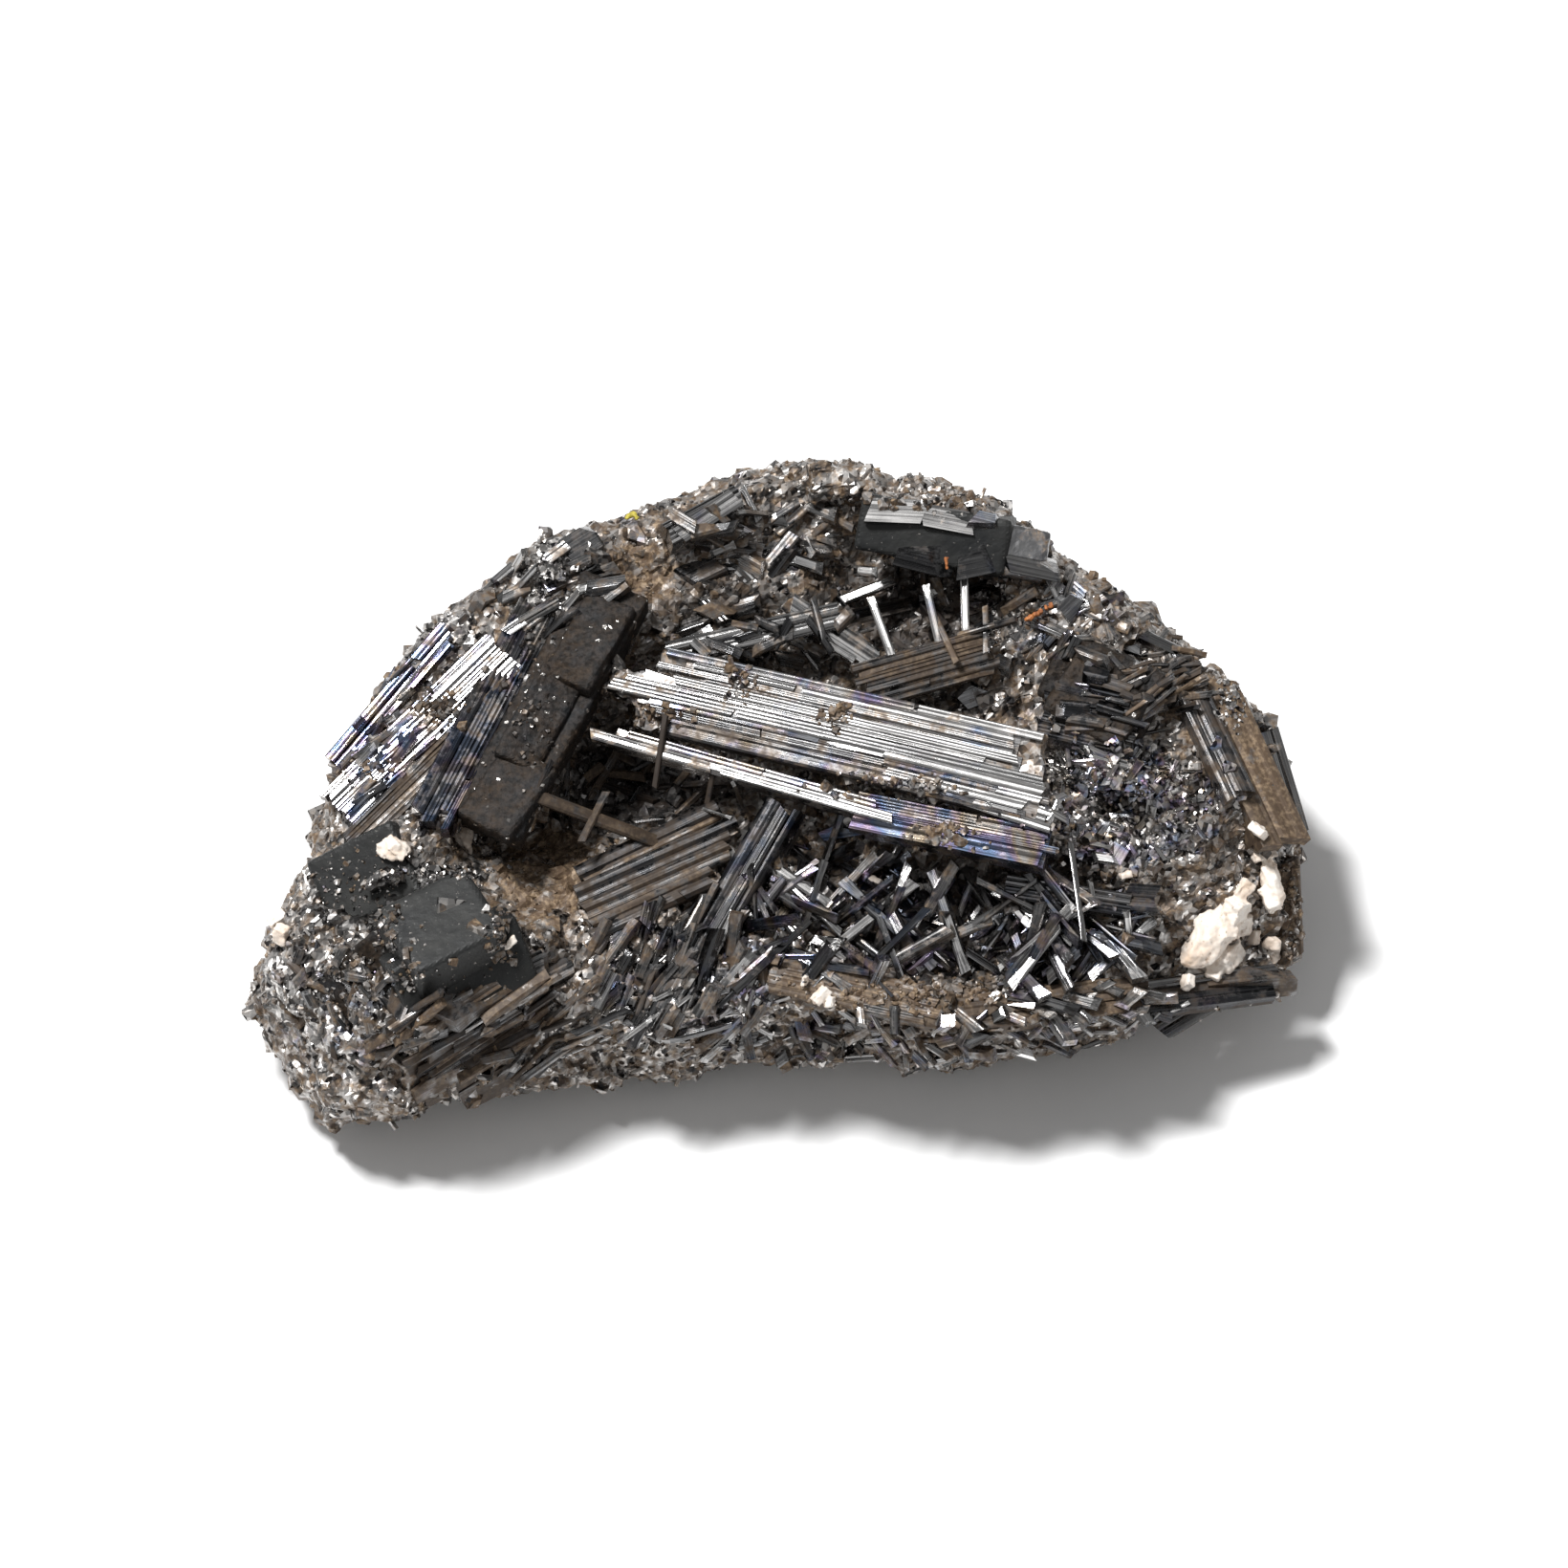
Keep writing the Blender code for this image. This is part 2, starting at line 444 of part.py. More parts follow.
def shards(surface, grow=0.0):
    """Small blades that lie in the skin of the walls, the front slope and the display side."""
    chance = random.Random(SHARD_SEED)
    tree = BVHTree.FromBMesh(surface)
    front = spots_above(tree, chance, FRONT_SHARDS, FRONT_EDGE, FRONT_SHARES)
    top = spots_above(tree, chance, TOP_SHARDS, (0, len(OUTLINE)), TOP_SHARES)
    groups = {
        "wall": wall_spots(tree, chance),
        "front": front,
        "top": [spot for spot in top if spot[0].z > TOP_LOWEST * MM],
    }
    shapes = []
    for name, spots in groups.items():
        shapes += [shard_shape(chance, spot, SHARD_TURN[name], grow) for spot in spots]
    return shapes


def as_operands(shapes, name):
    """A collection of objects that a Boolean reads, hidden from the view."""
    group = bpy.data.collections.new(name)
    for shape in shapes:
        guide = add_object(name, shape)
        bpy.context.scene.collection.objects.unlink(guide)
        group.objects.link(guide)
        guide.hide_render = True
        guide.display_type = "WIRE"
    return group


def combined(made, operation, group):
    """Applies one Boolean between an object and all that a collection holds."""
    step = made.modifiers.new(operation.lower(), "BOOLEAN")
    step.operation = operation
    step.operand_type = "COLLECTION"
    step.collection = group
    step.solver = "EXACT"
    evaluated = made.evaluated_get(bpy.context.evaluated_depsgraph_get())
    mesh = bpy.data.meshes.new_from_object(evaluated)
    made.modifiers.clear()
    made.data = mesh


def largest_body(made):
    """Keeps only the largest connected body of an object's mesh, in triangles."""
    shape = bmesh.new()
    shape.from_mesh(made.data)
    bmesh.ops.triangulate(shape, faces=shape.faces)
    left = set(shape.verts)
    bodies = []
    while left:
        stack = [left.pop()]
        body = set(stack)
        while stack:
            for edge in stack.pop().link_edges:
                for vertex in edge.verts:
                    if vertex in left:
                        left.remove(vertex)
                        body.add(vertex)
                        stack.append(vertex)
        bodies.append(body)
    bodies.sort(key=len)
    spare = [vertex for body in bodies[:-1] for vertex in body]
    bmesh.ops.delete(shape, geom=spare, context="VERTS")
    shape.to_mesh(made.data)
    shape.free()


def height_of(ground, x, y):
    """Height of the upper side over x, y."""
    return ground.ray_cast(Vector((x, y, SKY * MM)), Vector((0, 0, -1)))[0].z


def crust_shapes(ground, middle, half, needles, length, thick, lean, seed):
    """A wavy plate in a hollow's floor with needles that cross above it."""
    chance = random.Random(seed)
    plate = bmesh.new()
    across = max(3, round(2 * half[0] / CRUST_STEP))
    along = max(3, round(2 * half[1] / CRUST_STEP))
    bmesh.ops.create_grid(plate, x_segments=across, y_segments=along, size=1.0)
    centre = seen(*middle, MID_HEIGHT)

    for vertex in plate.verts:
        x, y = vertex.co.x, vertex.co.y
        pull = math.sqrt(1 - 0.5 * y * y), math.sqrt(1 - 0.5 * x * x)
        x = centre.x + x * pull[0] * half[0] * MM
        y = centre.y + y * pull[1] * half[1] * MM / SIN
        vertex.co = Vector((x, y, height_of(ground, x, y) - CRUST_DEEP * MM))
    top = bmesh.ops.extrude_face_region(plate, geom=plate.faces[:])["geom"]
    for vertex in (item for item in top if isinstance(item, bmesh.types.BMVert)):
        wave = 0.5 + 0.5 * noise.noise(vertex.co / MM * CRUST_WAVE)
        vertex.co.z += (CRUST_DEEP + CRUST_RISE * (0.6 + wave)) * MM
    shapes = [plate]
    for i in range(needles):
        x = centre.x + chance.uniform(-0.82, 0.82) * half[0] * MM
        y = centre.y + chance.uniform(-0.8, 0.8) * half[1] * MM / SIN
        base = Vector((x, y, height_of(ground, x, y)))
        steep = math.radians(chance.uniform(*lean))
        heading = math.radians(chance.uniform(0, 360))
        flat = math.cos(steep)
        axis = Vector((flat * math.cos(heading), flat * math.sin(heading), math.sin(steep)))
        tip = base + axis * length * chance.uniform(0.6, 1.0) * MM
        base -= axis * NEEDLE_ROOT * MM
        size = thick * chance.uniform(0.8, 1.3)
        roll = chance.uniform(0, 90)
        shapes.append(blade_shape(base, tip, size * NEEDLE_WIDE, size, roll, chamfer=False))
    return shapes


def calcite_shape(ground, middle, half, turn, seed):
    """A low uneven lump of calcite, bedded in the surface."""
    shape = bmesh.new()
    bmesh.ops.create_icosphere(shape, subdivisions=2, radius=1.0)
    spot = ground.ray_cast(seen(*middle, SKY), SIGHT)[0]
    spin = Matrix.Rotation(math.radians(turn), 4, "Z")
    sizes = Matrix.Diagonal(half)
    for vertex in shape.verts:
        place = vertex.co * CALCITE_BUMP_SCALE + Vector((seed * 9.0, 0.0, 0.0))
        bump = 1.0 + CALCITE_BUMP * noise.noise(place)
        vertex.co = sizes @ vertex.co * bump * MM
    bmesh.ops.transform(shape, matrix=Matrix.Translation(spot) @ spin, verts=shape.verts)
    return shape


def main():
    noise.seed_set(NOISE_SEED)
    for made in list(bpy.data.objects):
        bpy.data.objects.remove(made)

    surface = lump()
    mass = add_object("magnetite_lump", surface.copy())
    combined(mass, "UNION", as_operands(main_blades() + shards(surface), "grown_in"))
    largest_body(mass)
    give_finish(mass, *STEEL)
    finished = [mass]

    solid = bmesh.new()
    solid.from_mesh(mass.data)
    ground = BVHTree.FromBMesh(surface)
    skin = BVHTree.FromBMesh(solid)
    grown = [lump(GAP * GAP_AT_FOLDS)] + main_blades(GAP) + shards(surface, GAP)
    clearance = as_operands(grown, "clearance")

    for name, hollow in HOLLOWS.items():
        plate, *needles = crust_shapes(ground, **hollow)
        crust = add_object(name, plate)
        combined(crust, "UNION", as_operands(needles, name + "_needles"))
        combined(crust, "DIFFERENCE", clearance)
        largest_body(crust)
        give_finish(crust, *CRUST)
        finished.append(crust)

    for name, patch in CALCITE.items():
        white = add_object(name, calcite_shape(skin, **patch))
        combined(white, "DIFFERENCE", clearance)
        largest_body(white)
        give_finish(white, *WHITE)
        finished.append(white)

    to_origin = Matrix.Translation(Vector((-CENTRE[0], -CENTRE[1], 0.0)) * MM)
    for made in finished:
        made.data.transform(to_origin)

    for group in list(bpy.data.collections):
        for guide in list(group.objects):
            bpy.data.objects.remove(guide)
        bpy.data.collections.remove(group)


main()
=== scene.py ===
"""The looks of a bladed magnetite specimen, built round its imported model.

Places are given as the display side is seen from the front at VIEW_TILT above the horizon: right and
up in millimetres from the middle of the outline and, where it is stated, the height above the foot.
"""

import math
import random

import bpy
import numpy as np
from mathutils import Matrix, Vector
from mathutils.bvhtree import BVHTree


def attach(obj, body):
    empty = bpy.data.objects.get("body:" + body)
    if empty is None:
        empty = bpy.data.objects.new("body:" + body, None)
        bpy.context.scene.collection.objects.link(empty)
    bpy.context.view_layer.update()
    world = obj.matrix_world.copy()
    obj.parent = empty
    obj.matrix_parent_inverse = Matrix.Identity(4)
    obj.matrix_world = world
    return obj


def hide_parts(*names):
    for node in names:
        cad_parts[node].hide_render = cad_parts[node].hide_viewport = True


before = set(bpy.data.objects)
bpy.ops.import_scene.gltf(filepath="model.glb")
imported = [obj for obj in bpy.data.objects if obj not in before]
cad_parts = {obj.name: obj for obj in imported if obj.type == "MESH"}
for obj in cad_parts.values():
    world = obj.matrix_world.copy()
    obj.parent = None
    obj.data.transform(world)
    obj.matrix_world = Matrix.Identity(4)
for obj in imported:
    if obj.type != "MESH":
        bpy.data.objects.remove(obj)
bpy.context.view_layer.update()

MM = 0.001

# The frame that the places are given in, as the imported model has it.
VIEW_TILT = math.radians(60)
MID_HEIGHT = 15.0
CENTRE = (-0.056, 0.073)
SIN, COS = math.sin(VIEW_TILT), math.cos(VIEW_TILT)
TO_VIEWER = Vector((0.0, -COS, SIN))
FACE_UP = Vector((0.0, -0.30, 0.954))  # which way a blade's broad face looks before it is rolled
SKY = 100.0  # a height above all of the lump, in millimetres

# The photograph's frame: its width in millimetres and what its middle shows.
FRAME_WIDTH = 131.2
FRAME_MIDDLE = (0.4, -0.32)
LENS, SENSOR = 200.0, 36.0  # focal length and sensor width in millimetres

RANDOM_SEED = 20

# Sizes of the faces that the rough pieces are made of, in millimetres.
SKIN_VOXEL, SLAB_VOXEL = 0.47, 0.28
CALCITE_VOXEL, BIT_VOXEL, STAIN_VOXEL = 0.14, 0.12, 0.09

# Depths of the pits in the rough pieces, in millimetres.
SLAB_ROUGHNESS = {"slab": 0.16, "matte": 0.05, "block": 0.05}
CALCITE_ROUGHNESS, BIT_ROUGHNESS, STAIN_ROUGHNESS = 0.22, 0.20, 0.08

# Blades: start, end (each right, up, height), width, thickness, roll in degrees, finish.
BLADES = {
    "bright_upper": ((-10.4, 10.0, 25.6), (22.4, 2.4, 26.6), 2.6, 1.6, 4, "silver"),
    "bright_middle": ((-14.4, 8.6, 24.8), (22.6, -0.1, 25.8), 2.9, 1.6, -3, "silver"),
    "bright_inner": ((-12.4, 5.9, 24.0), (22.8, -2.4, 25.2), 2.8, 1.6, 3, "inner"),
    "bright_plate": ((7.4, 1.6, 25.0), (22.6, -2.2, 25.5), 2.8, 1.2, 1, "silver"),
    "bright_step": ((15.0, -1.0, 24.6), (23.0, -3.6, 24.8), 2.0, 1.2, 0, "silver"),
    "bright_lowest": ((-15.6, 4.2, 23.4), (9.5, -2.9, 24.0), 1.6, 1.5, -6, "silver"),
    "bright_foot": ((6.0, -2.4, 23.2), (23.4, -5.9, 23.8), 3.4, 1.8, -8, "tarnished"),
    "bright_end": ((25.0, 1.6, 24.2), (31.4, -0.2, 23.2), 2.2, 1.8, 0, "silver"),
    "left_bright": ((-22.6, 11.0, 23.8), (-36.8, -2.9, 19.4), 4.4, 2.0, 10, "sheet"),
    "left_second": ((-20.8, 9.0, 23.6), (-35.6, -5.6, 19.4), 2.4, 2.4, -4, "bronze"),
    "left_edge": ((-27.2, 12.9, 22.0), (-37.6, 0.6, 17.6), 2.2, 2.0, 16, "tarnished"),
    "dark_slab": ((-13.6, 16.4, 25.4), (-24.2, -3.6, 22.6), 6.2, 3.0, 6, "slab"),
    "slab_top_1": ((-13.9, 15.2, 25.8), (-17.8, 8.2, 25.5), 4.6, 1.6, 13, "slab"),
    "slab_top_2": ((-17.8, 9.0, 25.2), (-21.8, 1.4, 24.2), 4.0, 1.6, -5, "slab"),
    "slab_top_3": ((-20.4, 2.2, 24.1), (-24.5, -3.8, 23.1), 5.2, 1.6, 12, "slab"),
    "slab_back": ((-19.6, 15.2, 24.0), (-29.2, -3.8, 22.2), 4.0, 2.6, 12, "blue"),
    "corner_block": ((-31.2, -13.2, 24.8), (-24.0, -9.6, 24.8), 7.4, 7.0, -20, "matte"),
    "corner_front": ((-30.6, -18.6, 20.8), (-20.4, -14.2, 21.4), 7.0, 4.6, 30, "matte"),
    "corner_rear": ((-38.0, -9.8, 17.3), (-30.8, -6.2, 21.2), 6.6, 3.0, 2, "matte"),
    "corner_left": ((-36.6, -18.6, 15.8), (-31.4, -14.2, 20.4), 5.4, 3.0, 10, "slab"),
    "corner_under": ((-31.0, -18.6, 19.6), (-19.6, -13.2, 18.6), 6.0, 6.0, -18, "dull"),
    "corner_lath_1": ((-32.6, -23.0, 14.6), (-17.2, -14.6, 15.6), 3.2, 3.0, -20, "dull"),
    "corner_lath_2": ((-31.4, -25.2, 11.6), (-15.4, -16.6, 12.4), 2.6, 3.0, -26, "bronze"),
    "corner_lath_3": ((-27.4, -25.4, 8.6), (-13.2, -18.2, 10.4), 2.4, 2.6, -30, "bronze"),
    "ribbed_1": ((-17.6, -8.4, 17.4), (-4.6, -2.2, 19.2), 1.7, 2.2, 0, "ribbed"),
    "ribbed_2": ((-17.2, -9.8, 17.8), (-3.2, -3.6, 19.6), 1.7, 2.4, 0, "ribbed"),
    "ribbed_3": ((-16.6, -11.2, 17.8), (-3.4, -5.4, 19.4), 1.7, 2.4, 0, "ribbed"),
    "ribbed_4": ((-15.8, -12.6, 17.4), (-4.8, -7.6, 18.8), 1.7, 2.2, 0, "ribbed"),
    "steep_blade": ((0.6, -1.6, 22.4), (-8.6, -17.6, 16.0), 3.2, 2.4, 18, "dark"),
    "steep_small": ((-6.4, -12.6, 18.4), (-10.6, -21.0, 14.6), 2.2, 2.0, 10, "dull"),
    "grey_prism": ((-9.4, 10.4, 23.4), (5.2, 13.8, 25.0), 2.2, 2.2, 14, "grey"),
    "grey_prism_2": ((0.8, 14.8, 24.4), (8.4, 9.8, 22.6), 1.8, 1.8, 0, "grey"),
    "crown_block": ((6.6, 21.6, 28.2), (19.0, 19.2, 28.0), 4.8, 5.0, 20, "matte"),
    "crown_end": ((17.4, 19.6, 27.6), (22.4, 18.6, 26.6), 4.4, 4.6, 4, "block"),
    "crown_facet_1": ((7.4, 22.5, 29.3), (12.2, 22.3, 29.3), 2.0, 1.4, 0, "facet"),
    "crown_facet_2": ((11.8, 22.1, 29.1), (16.0, 21.3, 28.8), 1.9, 1.4, -3, "facet"),
    "crown_prism": ((-9.4, 20.4, 27.2), (-3.2, 23.8, 27.6), 2.2, 4.6, 0, "grey"),
    "fan_slab": ((6.4, 7.6, 23.4), (18.4, 11.0, 24.2), 3.8, 2.6, 10, "bronze"),
    "fan_right": ((22.4, 9.8, 24.6), (31.0, 6.0, 24.0), 6.0, 3.6, 16, "slab"),
    "fan_face": ((23.0, 8.2, 24.9), (29.4, 4.6, 24.6), 5.4, 1.6, 6, "slab"),
    "fan_lower": ((21.6, 5.6, 23.6), (29.8, 3.6, 23.4), 4.0, 3.0, -8, "dark"),
    "edge_blade_1": ((35.8, 8.6, 21.6), (42.2, -5.4, 17.2), 4.4, 2.4, -20, "dusty"),
    "edge_blade_2": ((40.6, 4.2, 17.6), (43.2, -4.6, 13.6), 2.8, 2.2, -34, "grey"),
    "edge_blade_3": ((32.8, 10.9, 23.0), (38.4, -1.6, 20.4), 2.6, 2.2, -12, "dull"),
    "edge_foot": ((42.6, -6.6, 12.6), (43.0, -15.2, 7.6), 2.0, 2.6, -30, "dusty"),
    "long_prism": ((18.4, -8.7, 19.8), (29.2, -10.4, 19.4), 1.9, 2.0, 0, "dark"),
    "long_prism_end": ((28.6, -9.6, 19.6), (31.2, -9.8, 19.4), 2.2, 2.2, 0, "dark"),
    "ledge_plate_1": ((-1.6, -15.6, 17.8), (15.4, -19.2, 17.2), 3.4, 1.8, -6, "pale"),
    "ledge_plate_2": ((13.4, -19.4, 16.4), (30.6, -17.4, 15.2), 3.0, 1.8, -8, "pale"),
    "lip_blade_1": ((27.6, -18.3, 12.2), (42.2, -16.6, 9.4), 3.0, 1.4, -10, "dull"),
    "lip_blade_2": ((31.8, -21.0, 6.2), (37.2, -17.6, 9.2), 1.6, 1.2, 0, "grey"),
    "lip_edge": ((28.4, -17.3, 12.5), (41.8, -15.6, 9.7), 0.7, 0.8, -10, "grey"),
}

# How a blade of each finish is laid up: width of its laths, how far they stand above or below its
# face, how far their ends fall short as a share of the length, how many break, how far they roll in
# degrees, and their tone: brightness, tarnish and dust.
LAY_UPS = {
    "silver": (0.66, 0.14, 0.16, 0.50, 6, (0.56, 0.20, 0.12)),
    "inner": (1.10, 0.16, 0.10, 0.60, 7, (0.16, 0.30, 0.36)),
    "tarnished": (0.85, 0.12, 0.10, 0.30, 6, (0.50, 0.75, 0.14)),
    "bronze": (0.60, 0.16, 0.10, 0.25, 8, (0.22, 0.10, 0.60)),
    "sheet": (0.90, 0.03, 0.04, 0.00, 2, (0.42, 0.40, 0.12)),
    "blue": (0.90, 0.12, 0.08, 0.20, 7, (0.12, 0.60, 0.30)),
    "dull": (1.30, 0.22, 0.10, 0.15, 8, (0.14, 0.05, 0.42)),
    "ribbed": (0.80, 0.06, 0.10, 0.05, 5, (0.17, 0.00, 0.60)),
    "dark": (1.10, 0.12, 0.05, 0.10, 7, (0.07, 0.35, 0.26)),
    "dusty": (1.90, 0.08, 0.04, 0.10, 3, (0.34, 0.00, 0.82)),
    "grey": (1.30, 0.08, 0.04, 0.05, 5, (0.42, 0.05, 0.10)),
    "facet": (2.20, 0.05, 0.02, 0.00, 2, (0.78, 0.05, 0.06)),
    "pale": (0.95, 0.26, 0.20, 0.80, 9, (0.34, 0.05, 0.74)),
}
BLADE_LIFT = 0.30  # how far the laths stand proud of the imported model's blade face
BED_DEPTH = 0.40  # how far below that face the ground is pressed under a blade
BED_MARGIN, BED_TOP = 0.15, 1.0  # how far beside and above a blade the ground is pressed down
CORE_DROP = 0.22  # how far under the laths lies the core that holds them together
CORE_SHARE = 0.84  # the core's length as a share of the blade's
SHORTEST_LATH = 0.8  # in millimetres
# How far the tones of a blade's laths differ from its own.
TONE_SPREADS, USUAL_TONE_SPREAD = {"silver": 0.38, "sheet": 0.18}, 0.14
# on the silver blades the rise is a painted highlight: their ends, to the right, are made brighter for the
# light they mirror
SILVER_HIGHLIGHT_RISE, USUAL_RISE = 1.3, 0.7  # how much brighter a blade's end is than its start
WORN_EDGE = 0.35  # width of a slab's worn edges

# Laths and needles picked out one by one: from and to, how far each end stands above its place, width,
# tone. A place is right and up on the surface, or right, up and height.
WHITE_HOT, BRIGHT, STEEL, DARK, BRONZE, RUSTY = (
    (1.0, 0.0, 0.0), (0.85, 0.1, 0.0), (0.5, 0.2, 0.1), (0.2, 0.4, 0.1), (0.4, 0.1, 0.5), (0.12, 0.0, 0.7))
PICKED = {
    "crossing_white": ((19.0, -16.9, 17.9), (24.3, -10.3, 19.9), 0.5, 0.5, 0.85, WHITE_HOT),
    "crossing_grey": ((17.7, -8.9, 18.2), (24.2, -13.2, 18.4), 0.3, 0.3, 1.00, STEEL),
    "crossing_thin": ((18.1, -15.5, 17.0), (21.2, -12.8, 18.2), 0.3, 0.3, 0.55, BRIGHT),
    "crossing_steep": ((20.1, -11.3, 18.6), (23.8, -15.8, 17.4), 0.3, 0.3, 0.75, STEEL),
    "under_crossing": ((19.2, -17.4, 17.0), (24.6, -18.9, 16.2), 0.3, 0.3, 1.10, DARK),
    "under_crossing_edge": ((22.1, -20.6), (24.4, -18.6), 0.2, 0.2, 0.80, STEEL),
    "lower_glint": ((19.8, -22.4), (21.5, -22.9), 0.2, 0.2, 1.00, WHITE_HOT),
    "blue_white": ((-0.9, -6.7, 19.4), (4.4, -10.4, 17.6), 0.4, 0.4, 0.85, WHITE_HOT),
    "dark_below_blue": ((-2.8, -7.2, 19.0), (4.4, -11.8, 16.8), 0.3, 0.3, 1.40, DARK),
    "low_crossing_1": ((3.4, -14.6, 16.6), (11.2, -8.4, 18.2), 0.3, 0.3, 1.00, STEEL),
    "low_crossing_2": ((5.2, -8.2, 18.6), (12.8, -15.4, 16.6), 0.3, 0.3, 1.00, DARK),
    "low_crossing_3": ((9.4, -14.9, 16.8), (17.6, -11.4, 17.4), 0.3, 0.3, 0.90, BRONZE),
    "low_crossing_4": ((12.6, -7.4, 19.2), (15.4, -15.8, 16.6), 0.3, 0.3, 0.90, STEEL),
    "low_right_1": ((23.4, -12.2, 17.8), (31.6, -13.9, 16.8), 0.3, 0.3, 1.00, DARK),
    "low_right_2": ((25.6, -16.2, 16.0), (31.0, -11.4, 17.6), 0.3, 0.3, 0.90, STEEL),
    "hollow_bar": ((-20.4, -1.1), (-10.0, -5.1), 0.0, 0.2, 1.05, RUSTY),
    "hollow_bar_crossing": ((-14.3, -0.9, 21.4), (-16.3, -5.0, 21.4), 0.0, 0.0, 0.60, RUSTY),
    "hollow_glint": ((-6.4, -2.3), (-4.0, -3.1), 0.2, 0.4, 0.30, WHITE_HOT),
    "hollow_flash": ((-3.6, -0.2), (-3.0, -1.9), 0.2, 0.2, 0.45, WHITE_HOT),
    "upper_warm": ((4.8, 15.0), (9.6, 16.9), 0.0, 2.0, 0.85, WHITE_HOT),
    "upper_leaning": ((7.6, 15.3, 25.4), (9.5, 10.0, 24.1), 0.2, 0.2, 0.70, BRIGHT),
    "upper_upright": ((12.2, 16.3, 25.9), (13.4, 11.0, 24.3), 0.2, 0.2, 0.65, BRIGHT),
    "upper_white": ((15.4, 17.3, 26.1), (15.5, 11.6, 24.5), 0.2, 0.2, 0.65, WHITE_HOT),
    "upper_lying": ((4.0, 13.2), (12.0, 15.2), 0.0, 1.0, 1.20, STEEL),
    "upper_short": ((12.6, 15.7), (14.4, 16.2), 1.0, 0.0, 0.80, WHITE_HOT),
    "upper_back": ((6.2, 17.8), (8.2, 17.6), 0.2, 0.3, 0.90, BRIGHT),
    "right_prism": ((19.8, 11.6), (23.4, 16.6), 0.3, 0.4, 1.50, STEEL),
    "right_small": ((22.0, 11.0), (23.4, 12.6), 0.3, 0.3, 0.90, STEEL),
    "fan_leaning": ((21.6, 5.4), (23.3, 2.2), 0.3, 0.3, 0.80, STEEL),
    "pale_left": ((-5.5, -14.3, 17.8), (-3.7, -10.9, 19.2), 0.3, 0.3, 0.80, STEEL),
    "glint_by_pale": ((1.4, -12.9), (1.9, -10.8), 0.2, 0.3, 0.22, WHITE_HOT),
    "glint_lying": ((1.9, -12.0), (3.0, -11.7), 0.2, 0.2, 0.22, WHITE_HOT),
    "foot_lath": ((-12.8, -21.3, 13.9), (-10.5, -19.6, 14.9), 0.4, 0.4, 0.50, WHITE_HOT),
    "foot_lath_end": ((-10.5, -19.6, 14.9), (-9.1, -18.8, 15.5), 0.4, 0.4, 0.35, WHITE_HOT),
    "foot_flat": ((-3.1, -21.4), (-1.3, -20.8), 0.3, 0.3, 1.90, STEEL),
    "stria_chip_1": ((-3.2, -18.9), (-1.9, -16.4), 0.3, 0.3, 0.45, WHITE_HOT),
    "stria_chip_2": ((-2.7, -19.0), (-1.5, -16.6), 0.3, 0.3, 0.40, BRIGHT),
    "grey_tablet": ((-15.4, -18.6), (-13.9, -15.7), 0.3, 0.3, 1.70, STEEL),
    "right_rod": ((28.6, -10.9), (28.9, -13.2), 0.3, 0.3, 0.60, BRIGHT),
    "rim_grey_prism": ((-8.4, 20.5), (-3.6, 23.7), 0.3, 0.3, 1.70, STEEL),
    "rim_pale": ((-3.4, 22.5), (-0.4, 22.3), 0.2, 0.2, 0.50, BRIGHT),
    "lip_second": ((32.0, -19.4), (34.0, -18.4), 0.3, 0.3, 0.35, BRIGHT),
}

